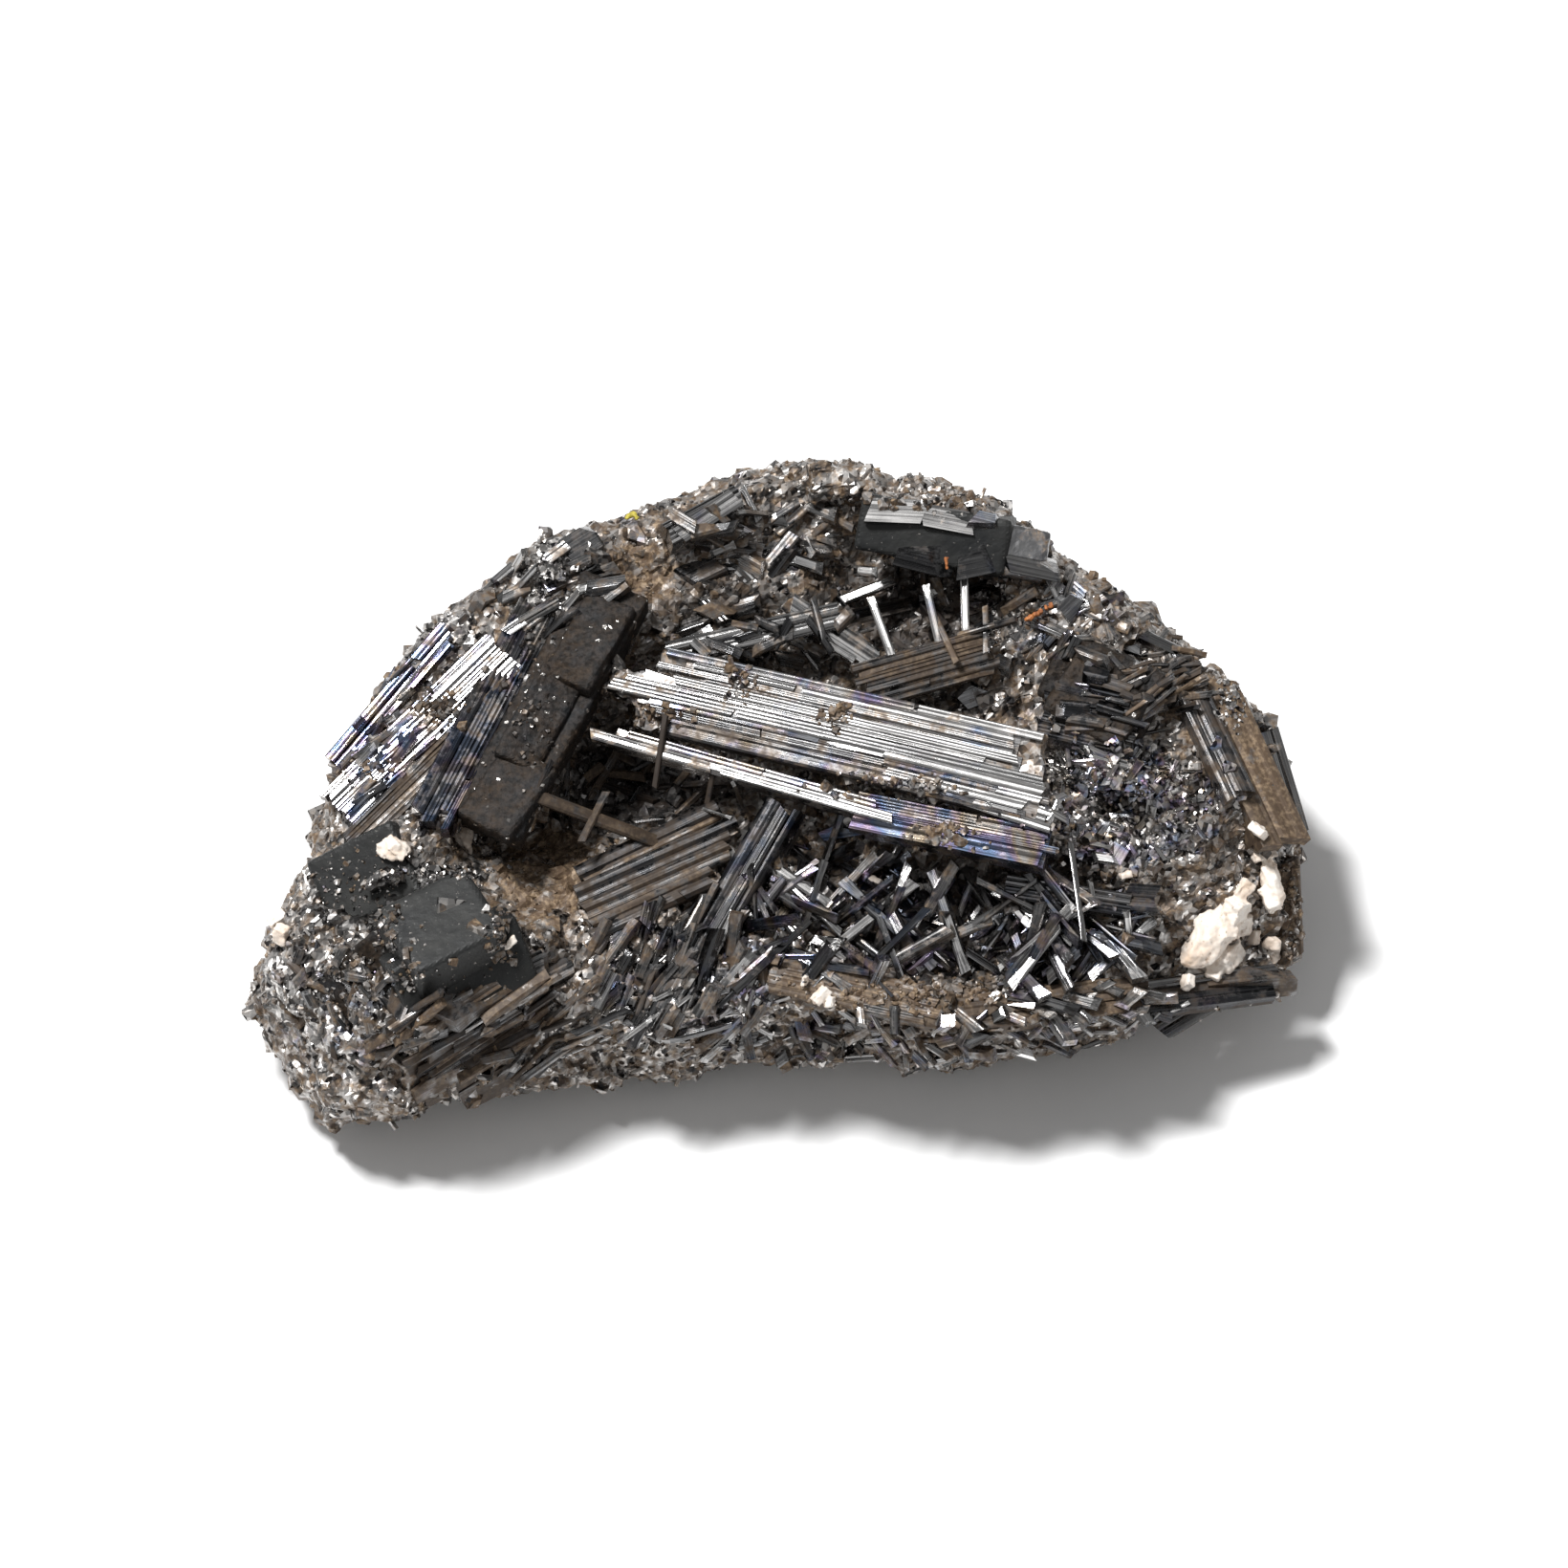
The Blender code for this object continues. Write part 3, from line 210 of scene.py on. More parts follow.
# Jumbles of laths: middle and half size (right, up), number, lengths, widths, the two directions
# that they favour and how far they scatter about them (degrees), how steeply they stand, tone.
JUMBLES = {
    "lower_left_half": ((6.0, -11.6), (8.8, 4.8), 80, (4.5, 10.0), (0.6, 1.4), (-42, 55), 22, 30,
                        (0.34, 0.45, 0.12)),
    "lower_left_fine": ((6.0, -12.4), (8.8, 5.0), 34, (1.2, 3.6), (0.22, 0.5), (-42, 55), 40, 50,
                        (0.50, 0.4, 0.08)),
    "lower_right_half": ((21.0, -12.6), (8.4, 4.0), 70, (4.5, 9.5), (0.55, 1.3), (-50, 52), 24, 26,
                         (0.36, 0.4, 0.12)),
    "lower_right_fine": ((21.0, -12.8), (8.8, 4.6), 32, (1.2, 3.6), (0.22, 0.5), (-48, 50), 40, 44,
                         (0.50, 0.4, 0.08)),
    "front_left": ((-8.4, -16.4), (8.0, 6.0), 74, (2.4, 6.5), (0.5, 1.3), (58, 66), 16, 22,
                   (0.28, 0.3, 0.36)),
    "front_left_fine": ((-8.0, -18.0), (8.6, 5.0), 60, (1.0, 2.6), (0.3, 0.7), (50, -40), 40, 34,
                        (0.60, 0.3, 0.20)),
    "front_middle": ((6.0, -21.6), (12.0, 2.8), 76, (1.2, 4.4), (0.5, 1.3), (-52, 48), 34, 40,
                     (0.44, 0.3, 0.32)),
    "front_right": ((24.0, -19.8), (9.0, 2.8), 60, (1.2, 4.2), (0.5, 1.2), (-30, 35), 34, 34,
                    (0.46, 0.3, 0.28)),
    "upper_hollow": ((11.6, 14.0), (9.2, 3.2), 20, (2.6, 5.5), (0.5, 1.1), (20, -70), 26, 20,
                     (0.20, 0.1, 0.46)),
    # painted shade: the needles in the hollow under the central blades are toned nearly black for the
    # shade there
    "dark_hollow": ((-12.4, -0.6), (8.0, 3.6), 20, (3.0, 7.0), (0.5, 1.0), (-22, 60), 22, 14,
                    (0.06, 0.0, 0.62)),
    "right_crumble": ((29.0, -2.0), (7.2, 4.6), 90, (0.8, 2.8), (0.3, 1.0), (-24, 60), 46, 36,
                      (0.85, 0.4, 0.08)),
    "fan_flakes": ((26.6, 6.4), (3.6, 2.4), 26, (1.4, 4.0), (0.5, 1.3), (-20, -8), 10, 6,
                   (0.12, 0.3, 0.40)),
    "fan": ((32.0, 8.0), (3.2, 4.2), 60, (1.8, 4.2), (0.35, 0.7), (12, 28), 10, 12,
            (0.24, 0.0, 0.56)),
    "corner_ridges": ((-36.2, -17.4), (4.6, 4.6), 34, (1.0, 3.4), (0.4, 1.0), (65, 120), 30, 16,
                      (0.26, 0.1, 0.46)),
    "corner_foot": ((-23.0, -20.4), (9.0, 3.2), 74, (3.5, 10.0), (0.4, 1.1), (29, 33), 6, 5,
                    (0.22, 0.0, 0.60)),
    "left_rim": ((-33.0, 3.6), (3.4, 6.4), 44, (1.6, 4.4), (0.35, 0.9), (50, 44), 10, 10,
                 (0.50, 0.5, 0.20)),
    "top_left_rim": ((-22.0, 16.2), (8.4, 3.6), 40, (1.6, 5.0), (0.6, 1.6), (33, 28), 22, 14,
                     (0.34, 0.1, 0.36)),
    "crest": ((-1.0, 20.8), (8.4, 3.2), 38, (1.4, 4.4), (0.6, 1.6), (30, -32), 34, 18,
              (0.36, 0.1, 0.40)),
    "behind_bright": ((-1.0, 12.4), (7.0, 3.0), 24, (2.4, 6.0), (0.7, 1.8), (22, -30), 28, 20,
                      (0.28, 0.1, 0.40)),
    "right_shoulder": ((26.4, 12.4), (5.8, 3.8), 46, (1.4, 4.6), (0.5, 1.4), (50, -38), 34, 22,
                       (0.38, 0.2, 0.34)),
    "end_of_bright": ((24.6, 0.6), (2.6, 3.0), 40, (0.8, 2.6), (0.3, 0.9), (-15, -80), 36, 30,
                      (0.82, 0.3, 0.12)),
}

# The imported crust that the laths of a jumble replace, where they line a hollow.
HOLLOW_OF = {
    "upper_hollow": "upper_hollow_crust",
    "dark_hollow": "dark_hollow_crust",
    "lower_left_half": "lower_hollow_crust",
    "lower_right_half": "lower_hollow_crust",
}

# Broken blocks with one broad face to the viewer: middle (right, up), length, width, angle from
# right, roll, tone.
TABLETS = {
    "blue_facet": ((27.6, 13.8), 1.8, 1.7, 40, -6, (0.60, 0.6, 0.00)),
    "dark_knob_1": ((16.4, 7.6), 3.6, 2.6, 22, 8, (0.08, 0.1, 0.30)),
    "dark_knob_2": ((18.6, 9.0), 2.4, 2.0, -30, -12, (0.10, 0.1, 0.30)),
    "corner_side": ((-27.4, -18.4), 3.4, 4.4, 40, -34, (0.10, 0.0, 0.50)),
    "corner_side_2": ((-31.4, -17.6), 3.0, 3.6, 70, -36, (0.10, 0.0, 0.50)),
    "under_calcite": ((39.2, -16.4), 7.6, 2.4, 8, -24, (0.16, 0.0, 0.60)),
    "left_top": ((-26.4, 13.6), 1.8, 1.4, 44, 34, (0.10, 0.1, 0.40)),
    "rim_block": ((-16.6, 19.6), 3.4, 2.6, 36, 6, (0.12, 0.0, 0.30)),
    "crest_block": ((-6.6, 17.6), 3.2, 2.4, 28, -10, (0.10, 0.0, 0.40)),
    "behind_block": ((0.6, 18.4), 2.8, 2.6, -20, 14, (0.12, 0.1, 0.30)),
    "crown_pale_end": ((17.4, 21.2), 2.8, 1.6, -14, -10, (0.62, 0.30, 0.20)),
    "crown_front": ((12.4, 18.9), 5.0, 2.6, -14, 24, (0.10, 0.1, 0.20)),
    "crown_front_2": ((16.6, 18.8), 3.6, 3.0, 12, 16, (0.14, 0.1, 0.20)),
    "crown_ledge": ((21.0, 17.6), 4.6, 1.4, -12, 12, (0.40, 0.2, 0.10)),
    "shoulder_block": ((24.8, 14.6), 3.0, 2.4, 46, 10, (0.16, 0.3, 0.10)),
    "shoulder_block_2": ((29.6, 10.6), 3.0, 2.2, -36, -8, (0.10, 0.2, 0.30)),
    "front_block": ((-2.2, -21.0), 2.3, 2.1, 12, -14, (0.36, 0.1, 0.10)),
    "front_block_2": ((6.8, -20.6), 2.8, 2.0, -30, -20, (0.10, 0.1, 0.30)),
    "front_block_3": ((16.0, -21.0), 2.6, 1.9, 26, -20, (0.12, 0.1, 0.30)),
    "hot_chunk": ((-12.8, -19.2), 1.5, 1.6, 30, 0, (1.00, 0.0, 0.00)),
    "blue_chunk": ((28.0, -5.5), 1.7, 2.1, 60, 0, (1.00, 0.5, 0.00)),
    "foot_plate": ((5.2, -4.0), 4.0, 1.6, 8, 4, (0.45, 1.0, 0.10)),
    "foot_plate_2": ((1.6, -4.8), 3.2, 1.3, -20, 8, (0.30, 1.0, 0.10)),
}
TABLET_THICKNESS, TABLET_LIFT = 2.6, 0.5
CHIP_DROP = 1.2  # how much lower a chip is set, whose middle and not its top is at its origin

# Crumbs that have gathered on the blades and elsewhere: middle and half size (right, up), number,
# smallest and largest, tone.
HEAPS = {
    "on_bright_1": ((-3.4, 8.2), (1.5, 1.4), 60, (0.25, 0.8), (0.60, 0.3, 0.50)),
    "on_bright_2": ((4.4, 5.2), (1.4, 1.0), 40, (0.25, 0.8), (0.40, 0.3, 0.60)),
    "on_bright_3": ((-9.8, 5.4), (2.8, 0.9), 60, (0.25, 0.7), (0.25, 0.1, 0.80)),
    "under_bright": ((8.0, -0.4), (5.0, 1.2), 110, (0.25, 0.8), (0.60, 0.4, 0.45)),
    "bright_end": ((24.2, -1.4), (1.7, 4.6), 190, (0.25, 1.0), (0.75, 0.4, 0.35)),
    "bright_foot": ((13.6, -4.6), (2.6, 1.2), 70, (0.25, 0.9), (0.55, 0.3, 0.55)),
    "left_bright": ((-28.6, 6.0), (2.4, 1.6), 130, (0.25, 0.8), (0.20, 0.1, 0.70)),
    "left_lower": ((-33.6, 1.2), (2.0, 1.6), 60, (0.25, 0.7), (0.45, 0.5, 0.40)),
    "on_slab": ((-20.6, 6.0), (3.0, 8.0), 110, (0.15, 0.6), (0.04, 0.1, 0.50)),
    "block_left": ((-32.0, -12.6), (1.0, 3.4), 60, (0.2, 0.8), (0.30, 0.1, 0.40)),
    "block_foot": ((-28.4, -17.0), (6.0, 2.6), 40, (0.2, 0.7), (0.24, 0.1, 0.45)),
    "block_top": ((-27.4, -7.6), (4.6, 0.7), 110, (0.2, 0.6), (0.90, 0.1, 0.15)),
    "block_right": ((-22.8, -12.4), (1.0, 2.6), 70, (0.25, 0.8), (0.35, 0.1, 0.60)),
    "rear_cover": ((-35.4, -8.6), (4.6, 3.0), 130, (0.15, 0.6), (0.70, 0.2, 0.30)),
    "left_cover": ((-35.6, -16.4), (4.4, 4.4), 160, (0.2, 0.8), (0.70, 0.3, 0.25)),
    "front_cover": ((-30.0, -15.4), (1.2, 2.6), 40, (0.15, 0.6), (0.50, 0.1, 0.40)),
    "crown": ((13.0, 23.6), (8.0, 1.0), 150, (0.3, 1.0), (0.72, 0.0, 0.50)),
    "crossing_foot": ((19.0, -17.2), (1.3, 1.0), 50, (0.25, 0.8), (1.00, 0.1, 0.10)),
    "ledge": ((11.0, -17.6), (11.0, 1.6), 260, (0.25, 0.7), (0.50, 0.1, 0.70)),
    "right_sparkle": ((29.6, -2.0), (5.6, 5.0), 420, (0.3, 1.1), (1.00, 0.5, 0.10)),
    "silver_seam": ((18.4, 14.2), (1.5, 2.8), 150, (0.25, 0.7), (1.00, 0.0, 0.00)),
    "edge_tip": ((37.6, 6.6), (1.3, 2.4), 110, (0.2, 0.6), (0.95, 0.0, 0.10)),
    "edge_foot": ((42.8, -11.0), (0.7, 4.6), 110, (0.3, 0.9), (0.50, 0.0, 0.60)),
    "silver_patch": ((-19.4, 17.0), (2.3, 2.3), 190, (0.25, 0.7), (1.00, 0.0, 0.00)),
}

# Stretches of the surface with a look of their own, and two hollows darkened as painted shade: middle and
# half size (right, up), tone.
STRETCHES = {
    "silver_sparkle": ((-18.6, 15.8), (3.6, 4.4), (1.00, 0.0, 0.0)),
    "silver_seam": ((18.6, 14.2), (1.7, 2.8), (1.00, 0.0, 0.05)),
    "left_rim_sparkle": ((-28.0, 11.4), (4.0, 3.0), (0.85, 0.1, 0.2)),
    "brown_crest": ((10.0, 25.0), (9.0, 2.2), (0.74, 0.0, 0.45)),
    "sandy_ground": ((-19.0, -7.6), (4.4, 3.8), (0.45, 0.0, 0.85)),
    "right_crumble": ((28.0, -2.6), (7.0, 5.0), (0.95, 0.4, 0.10)),
    "bright_blade_crumbs": ((14.0, -2.6), (10.0, 2.2), (0.75, 0.4, 0.35)),
    "corner_green": ((-33.0, -9.6), (6.0, 4.0), (0.20, 0.0, 0.15)),
    "corner_brown": ((-35.4, -18.6), (6.0, 5.4), (0.60, 0.3, 0.34)),
    "corner_tip": ((-40.0, -17.0), (3.0, 4.0), (0.60, 0.1, 0.25)),
    "right_rim": ((40.4, -1.0), (3.0, 8.0), (0.48, 0.0, 0.36)),
    "right_foot": ((42.4, -12.6), (2.4, 4.0), (0.50, 0.0, 0.50)),
    "front_glitter": ((-7.0, -17.0), (7.0, 4.4), (0.82, 0.4, 0.25)),
    "dark_middle": ((-6.0, 14.0), (6.0, 3.6), (0.10, 0.0, 0.50)),
    # painted shade: the hollow under the central blades is given no brightness, standing in for the shade
    # that falls in it
    "dark_hollow": ((-12.0, 0.0), (9.4, 4.6), (0.00, 0.0, 0.50)),
    "lower_hollow": ((13.0, -12.0), (16.0, 5.4), (0.12, 0.2, 0.45)),
    # painted shade: the hollow under the upper ledge is made nearly black, standing in for the shade
    # beneath the ledge
    "upper_hollow": ((11.0, 14.4), (10.0, 4.4), (0.05, 0.0, 0.55)),
    "brown_knob": ((-12.0, 17.2), (3.4, 2.8), (0.50, 0.0, 0.70)),
}
GROUND_TONE = (0.56, 0.10, 0.46)
LOWEST_CRUMB = 0.6  # no crumbs are scattered on the skin below this height
COVERED_SHARE = 0.9  # share of the crumbs left out where a blade is seen
CRUMB_SUNK = 0.12  # how far a crumb is sunk in the skin, as a share of its size

# Lobes that the calcite swells into beyond its solids: right, up, radius.
CALCITE_LOBES = {
    "calcite_patch": ((38.6, -9.2, 0.9), (37.8, -10.8, 1.3), (36.8, -12.4, 1.5), (35.6, -14.0, 1.4),
                      (34.6, -15.8, 1.1), (37.4, -14.6, 1.4), (38.4, -12.0, 1.1), (33.9, -16.8, 0.8),
                      (36.2, -15.9, 1.0)),
    "calcite_flake": ((39.8, -4.2, 0.9), (40.2, -6.0, 1.1), (40.7, -8.0, 1.2), (40.8, -10.0, 1.3)),
    "calcite_rod": ((39.5, -13.0, 0.7), (40.6, -13.8, 0.75), (41.5, -14.6, 0.65)),
    "calcite_grain_left": ((-32.2, -5.6, 0.9), (-31.4, -5.9, 1.0)),
    "calcite_grain_right": ((-26.5, -4.6, 0.9), (-26.3, -5.5, 0.8)),
}
# Bits of the calcite elsewhere: right, up, radius.
CALCITE_BITS = (
    (-22.0, -13.5, 0.6), (-41.2, -11.8, 1.0), (-40.9, -12.9, 0.8), (3.4, -17.8, 0.9), (4.2, -18.1, 0.6),
    (8.0, -8.7, 0.7), (2.1, -16.6, 0.5), (28.6, -7.7, 0.55), (8.9, -8.9, 0.4),
)

# Stains: the places that each runs through, and its radius.
STAINS = {
    "rust_splinter": (((20.8, 13.5), (21.6, 13.9), (22.6, 14.5)), 0.26),
    "rust_speck": (((14.0, 18.9), (14.1, 18.1)), 0.18),
    "yellow_speck": (((-12.6, 21.6), (-12.1, 21.9), (-11.8, 21.5)), 0.22),
}

# Lights: the way to it, its width and its power.
LIGHTS = {
    "key": ((-0.34, 0.15, 0.93), 0.15, 9.8),
    "overhead": ((-0.04, -0.09, 0.99), 0.44, 0.62),
}
LIGHT_DISTANCE, LIT_HEIGHT = 0.8, 12 * MM
SURROUND = 0.33  # brightness of the white surround
FLOOR_SIZE, FLOOR_DEPTH = 3.0, 0.00006

rng = random.Random(RANDOM_SEED)


def seen(right, up, height):
    """The point in metres that is seen at right, up and lies at that height."""
    depth = (up - (height - MID_HEIGHT) * COS) / SIN
    return Vector((right - CENTRE[0], depth - CENTRE[1], height)) * MM


def as_seen(points):
    """Right and up, in millimetres, of an array of points in metres."""
    right = points[:, 0] / MM + CENTRE[0]
    up = (points[:, 1] / MM + CENTRE[1]) * SIN + (points[:, 2] / MM - MID_HEIGHT) * COS
    return right, up


def way_of(degrees):
    """The direction across the view that runs at an angle from right."""
    turn = math.radians(degrees)
    return Vector((math.cos(turn), math.sin(turn) * SIN, math.sin(turn) * COS))


def axes_of(axis, facing, roll=0.0):
    """A frame whose x runs along axis and whose z looks to facing, rolled about the axis."""
    side = facing.cross(axis).normalized()
    normal = axis.cross(side).normalized()
    turn = Matrix.Rotation(math.radians(roll), 3, axis)
    return np.array([axis, turn @ side, turn @ normal]).T


def select_only(made):
    """Makes one object the only selected and the active one."""
    bpy.ops.object.select_all(action="DESELECT")
    made.select_set(True)
    bpy.context.view_layer.objects.active = made


def apply_all(made):
    """Applies an object's modifiers in their order."""
    select_only(made)
    for name in [step.name for step in made.modifiers]:
        bpy.ops.object.modifier_apply(modifier=name)


def even_faces(made, size):
    """Adds a remesh into even faces of one size in millimetres."""
    step = made.modifiers.new("even_faces", "REMESH")
    step.mode = "VOXEL"
    step.voxel_size = size * MM


def displace(made, name, basis, size, strength, middle):
    """Adds a displacement by clouds of one size."""
    texture = bpy.data.textures.new(name, "CLOUDS")
    texture.noise_basis = basis
    texture.noise_scale = size * MM
    texture.noise_depth = 1
    step = made.modifiers.new(name, "DISPLACE")
    step.texture = texture
    step.texture_coords = "LOCAL"
    step.strength = strength * MM
    step.mid_level = middle


def new_object(name, data):
    """Adds an object to the scene."""
    made = bpy.data.objects.new(name, data)
    bpy.context.scene.collection.objects.link(made)
    return made


def points_of(mesh):
    """A mesh's points as an array, in metres."""
    points = np.empty(len(mesh.vertices) * 3)
    mesh.vertices.foreach_get("co", points)
    return points.reshape(-1, 3)


def write_tones(mesh, tones):
    """Writes a brightness, tarnish and dust for each point to the mesh's tone attribute."""
    rows = np.concatenate([tones, np.ones((len(tones), 1))], axis=1)
    data = mesh.attributes.new("tone", "FLOAT_COLOR", "POINT").data
    data.foreach_set("color", rows.astype(np.float32).ravel())


# Shared shader node groups


def put(tree, kind, settings=None, **inputs):
    """Adds a shader node. Inputs are values, or sockets that feed them; _ stands for a space."""
    made = tree.nodes.new("ShaderNode" + kind)
    for key, value in (settings or {}).items():
        setattr(made, key, value)
    for key, value in inputs.items():
        feed(tree, made.inputs[key.replace("_", " ")], value)
    return made


def feed(tree, socket, value):
    """Links a socket to another, or sets its value."""
    if isinstance(value, bpy.types.NodeSocket):
        tree.links.new(value, socket)
    else:
        socket.default_value = value


def maths(tree, operation, first, second, clamp=False):
    """A maths node's output."""
    made = tree.nodes.new("ShaderNodeMath")
    made.operation = operation
    made.use_clamp = clamp
    feed(tree, made.inputs[0], first)
    feed(tree, made.inputs[1], second)
    return made.outputs[0]


def vector_maths(tree, operation, first, second=None, scale=None):
    """A vector maths node's output."""
    made = tree.nodes.new("ShaderNodeVectorMath")
    made.operation = operation
    feed(tree, made.inputs[0], first)
    if second is not None:
        feed(tree, made.inputs[1], second)
    if scale is not None:
        feed(tree, made.inputs["Scale"], scale)
    return made.outputs[0]


def blend(tree, share, first, second, kind="MIX"):
    """A mix of two colours."""
    made = tree.nodes.new("ShaderNodeMix")
    made.data_type = "RGBA"
    made.blend_type = kind
    feed(tree, made.inputs[0], share)
    feed(tree, made.inputs[6], first)
    feed(tree, made.inputs[7], second)
    return made.outputs[2]


def spread(tree, value, low, high, to_low=0.0, to_high=1.0):
    """A value mapped from one range to another, and held there."""
    made = put(tree, "MapRange", {"clamp": True}, Value=value)
    for name, number in (("From Min", low), ("From Max", high), ("To Min", to_low), ("To Max", to_high)):
        feed(tree, made.inputs[name], number)
    return made.outputs[0]


def new_group(name, inputs, outputs):
    """An empty node group with named sockets: the tree, its inputs and its outputs."""
    tree = bpy.data.node_groups.new(name, "ShaderNodeTree")
    for label, start in inputs.items():
        socket = tree.interface.new_socket(label, in_out="INPUT", socket_type="NodeSocketFloat")
        socket.default_value = start
    for label, kind in outputs.items():
        tree.interface.new_socket(label, in_out="OUTPUT", socket_type="NodeSocket" + kind)
    return tree, tree.nodes.new("NodeGroupInput").outputs, tree.nodes.new("NodeGroupOutput").inputs


def use_group(tree, group, **inputs):
    """Places a node group in a material and returns its outputs."""
    made = tree.nodes.new("ShaderNodeGroup")
    made.node_tree = group
    for key, value in inputs.items():
        feed(tree, made.inputs[key], value)
    return made.outputs


def object_place(tree):
    """The place on the object, that every texture is laid by."""
    return tree.nodes.new("ShaderNodeTexCoord").outputs["Object"]


def glitter_group():
    """Small flat facets that each look their own way: a normal, and a random value for each."""
    tree, given, out = new_group(
        "glitter_facets", {"Scale": 2000.0, "Tilt": 0.5}, {"Normal": "Vector", "Facet": "Float"})
    cells = put(tree, "TexVoronoi", {"feature": "F1"}, Vector=object_place(tree), Scale=given["Scale"])
    away = vector_maths(tree, "SUBTRACT", cells.outputs["Color"], (0.5, 0.5, 0.5))
    lean = vector_maths(tree, "SCALE", away, scale=given["Tilt"])
    surface = tree.nodes.new("ShaderNodeNewGeometry").outputs["Normal"]
    tilted = vector_maths(tree, "ADD", surface, lean)
    feed(tree, out["Normal"], vector_maths(tree, "NORMALIZE", tilted))
    parts = put(tree, "SeparateColor", Color=cells.outputs["Color"])
    feed(tree, out["Facet"], parts.outputs[0])
    return tree


def patches_group():
    """Soft-edged patches that cover about Amount of the surface."""
    tree, given, out = new_group(
        "patches", {"Scale": 400.0, "Amount": 0.5, "Edge": 0.08}, {"Mask": "Float"})
    cloud = put(
        tree, "TexNoise", Vector=object_place(tree), Scale=given["Scale"], Detail=5.0, Roughness=0.62)
    level = spread(tree, given["Amount"], 0.0, 1.0, 0.74, 0.26)
    low = maths(tree, "SUBTRACT", level, given["Edge"])
    high = maths(tree, "ADD", level, given["Edge"])
    feed(tree, out["Mask"], spread(tree, cloud.outputs["Fac"], low, high))
    return tree


def striae_group():
    """Fine lines along a crystal, from its own grain attribute: their height, and a tone that is darker
    where they lie low, painted shade in the grooves.
    """
    tree, given, out = new_group(
        "striae", {"Lines": 5.0, "Break": 0.06}, {"Height": "Float", "Tone": "Float"})
    grain = put(tree, "Attribute", {"attribute_name": "grain"}).outputs["Vector"]
    parts = put(tree, "SeparateXYZ", Vector=grain)
    along = maths(tree, "MULTIPLY", parts.outputs[0], given["Break"])
    across = maths(tree, "MULTIPLY", parts.outputs[1], given["Lines"])
    deep = maths(tree, "MULTIPLY", parts.outputs[2], given["Lines"])
    run = put(tree, "CombineXYZ", X=along, Y=across, Z=deep).outputs[0]
    lines = put(tree, "TexNoise", Vector=run, Scale=1.0, Detail=3.0, Roughness=0.7)
    feed(tree, out["Height"], lines.outputs["Fac"])
    # painted shade: the tone follows the lines' height, so the grooves between them come out darker
    feed(tree, out["Tone"], spread(tree, lines.outputs["Fac"], 0.36, 0.62))
    return tree


def tarnish_group():
    """The colours of a thin tarnish: steel, blue, violet and bronze in drifts."""
    tree, given, out = new_group("tarnish", {"Scale": 260.0}, {"Color": "Color"})
    drift = put(
        tree, "TexNoise", Vector=object_place(tree), Scale=given["Scale"], Detail=2.0, Distortion=0.8)
    ramp = put(tree, "ValToRGB", Fac=drift.outputs["Fac"])
    stops = ((0.30, (0.78, 0.80, 0.84)), (0.42, (0.30, 0.44, 0.72)), (0.50, (0.50, 0.40, 0.62)),
             (0.58, (0.72, 0.58, 0.42)), (0.70, (0.80, 0.78, 0.76)))
    for element, (position, colour) in zip(ramp.color_ramp.elements, (stops[0], stops[-1])):
        element.position = position
        element.color = (*colour, 1.0)
    for position, colour in stops[1:-1]:
        ramp.color_ramp.elements.new(position).color = (*colour, 1.0)
    feed(tree, out["Color"], ramp.outputs["Color"])
    return tree


GLITTER, PATCHES, STRIAE, TARNISH = glitter_group(), patches_group(), striae_group(), tarnish_group()


# Finishes


def new_finish(name):
    """A material with its tree and its Principled shader."""
    material = bpy.data.materials.new(name)
    material.use_nodes = True
    return material, material.node_tree, material.node_tree.nodes["Principled BSDF"]


def tone_of(tree):
    """Brightness, tarnish and dust from a piece's tone attribute."""
    tone = put(tree, "Attribute", {"attribute_name": "tone"}).outputs["Color"]
    return put(tree, "SeparateColor", Color=tone).outputs


def patches(tree, scale, amount, edge):
    """The mask of soft-edged patches that cover about an amount of the surface."""
    return use_group(tree, PATCHES, Scale=scale, Amount=amount, Edge=edge)["Mask"]


def tarnished(tree, metal, film_scale, drift_scale, amount):
    """A metal colour under a thin tarnish that covers about an amount of it."""
    film = blend(tree, 1.0, metal, use_group(tree, TARNISH, Scale=film_scale)["Color"], "MULTIPLY")
    return blend(tree, patches(tree, drift_scale, amount, edge=0.12), metal, film)


def rough_bump(tree, strength, distance, scale, detail, roughness=0.5):
    """A bump of fine noise all over the surface: its node."""
    cloud = put(
        tree, "TexNoise", Vector=object_place(tree), Scale=scale, Detail=detail, Roughness=roughness)
    return put(tree, "Bump", Strength=strength, Distance=distance, Height=cloud.outputs["Fac"])


DUST_DEEP, DUST_BROWN, DUST_TAN = (
    (0.022, 0.014, 0.009, 1.0), (0.100, 0.064, 0.038, 1.0), (0.280, 0.200, 0.125, 1.0))


def dusty(tree, shader, metal, normal, dust, roughness, bright):
    """Lays brown dust over a metal colour, deeper where the tone is dark, and feeds the shader."""
    speckle = patches(tree, scale=1900.0, amount=0.36, edge=0.10)
    mottled = blend(tree, speckle, DUST_BROWN, DUST_TAN)
    brown = blend(tree, spread(tree, bright, 0.0, 0.4), DUST_DEEP, mottled)
    feed(tree, shader.inputs["Base Color"], blend(tree, dust, metal, brown))
    feed(tree, shader.inputs["Metallic"], spread(tree, dust, 0.0, 1.0, 1.0, 0.15))
    feed(tree, shader.inputs["Roughness"], spread(tree, dust, 0.0, 1.0, roughness, 0.62))
    feed(tree, shader.inputs["Normal"], normal)


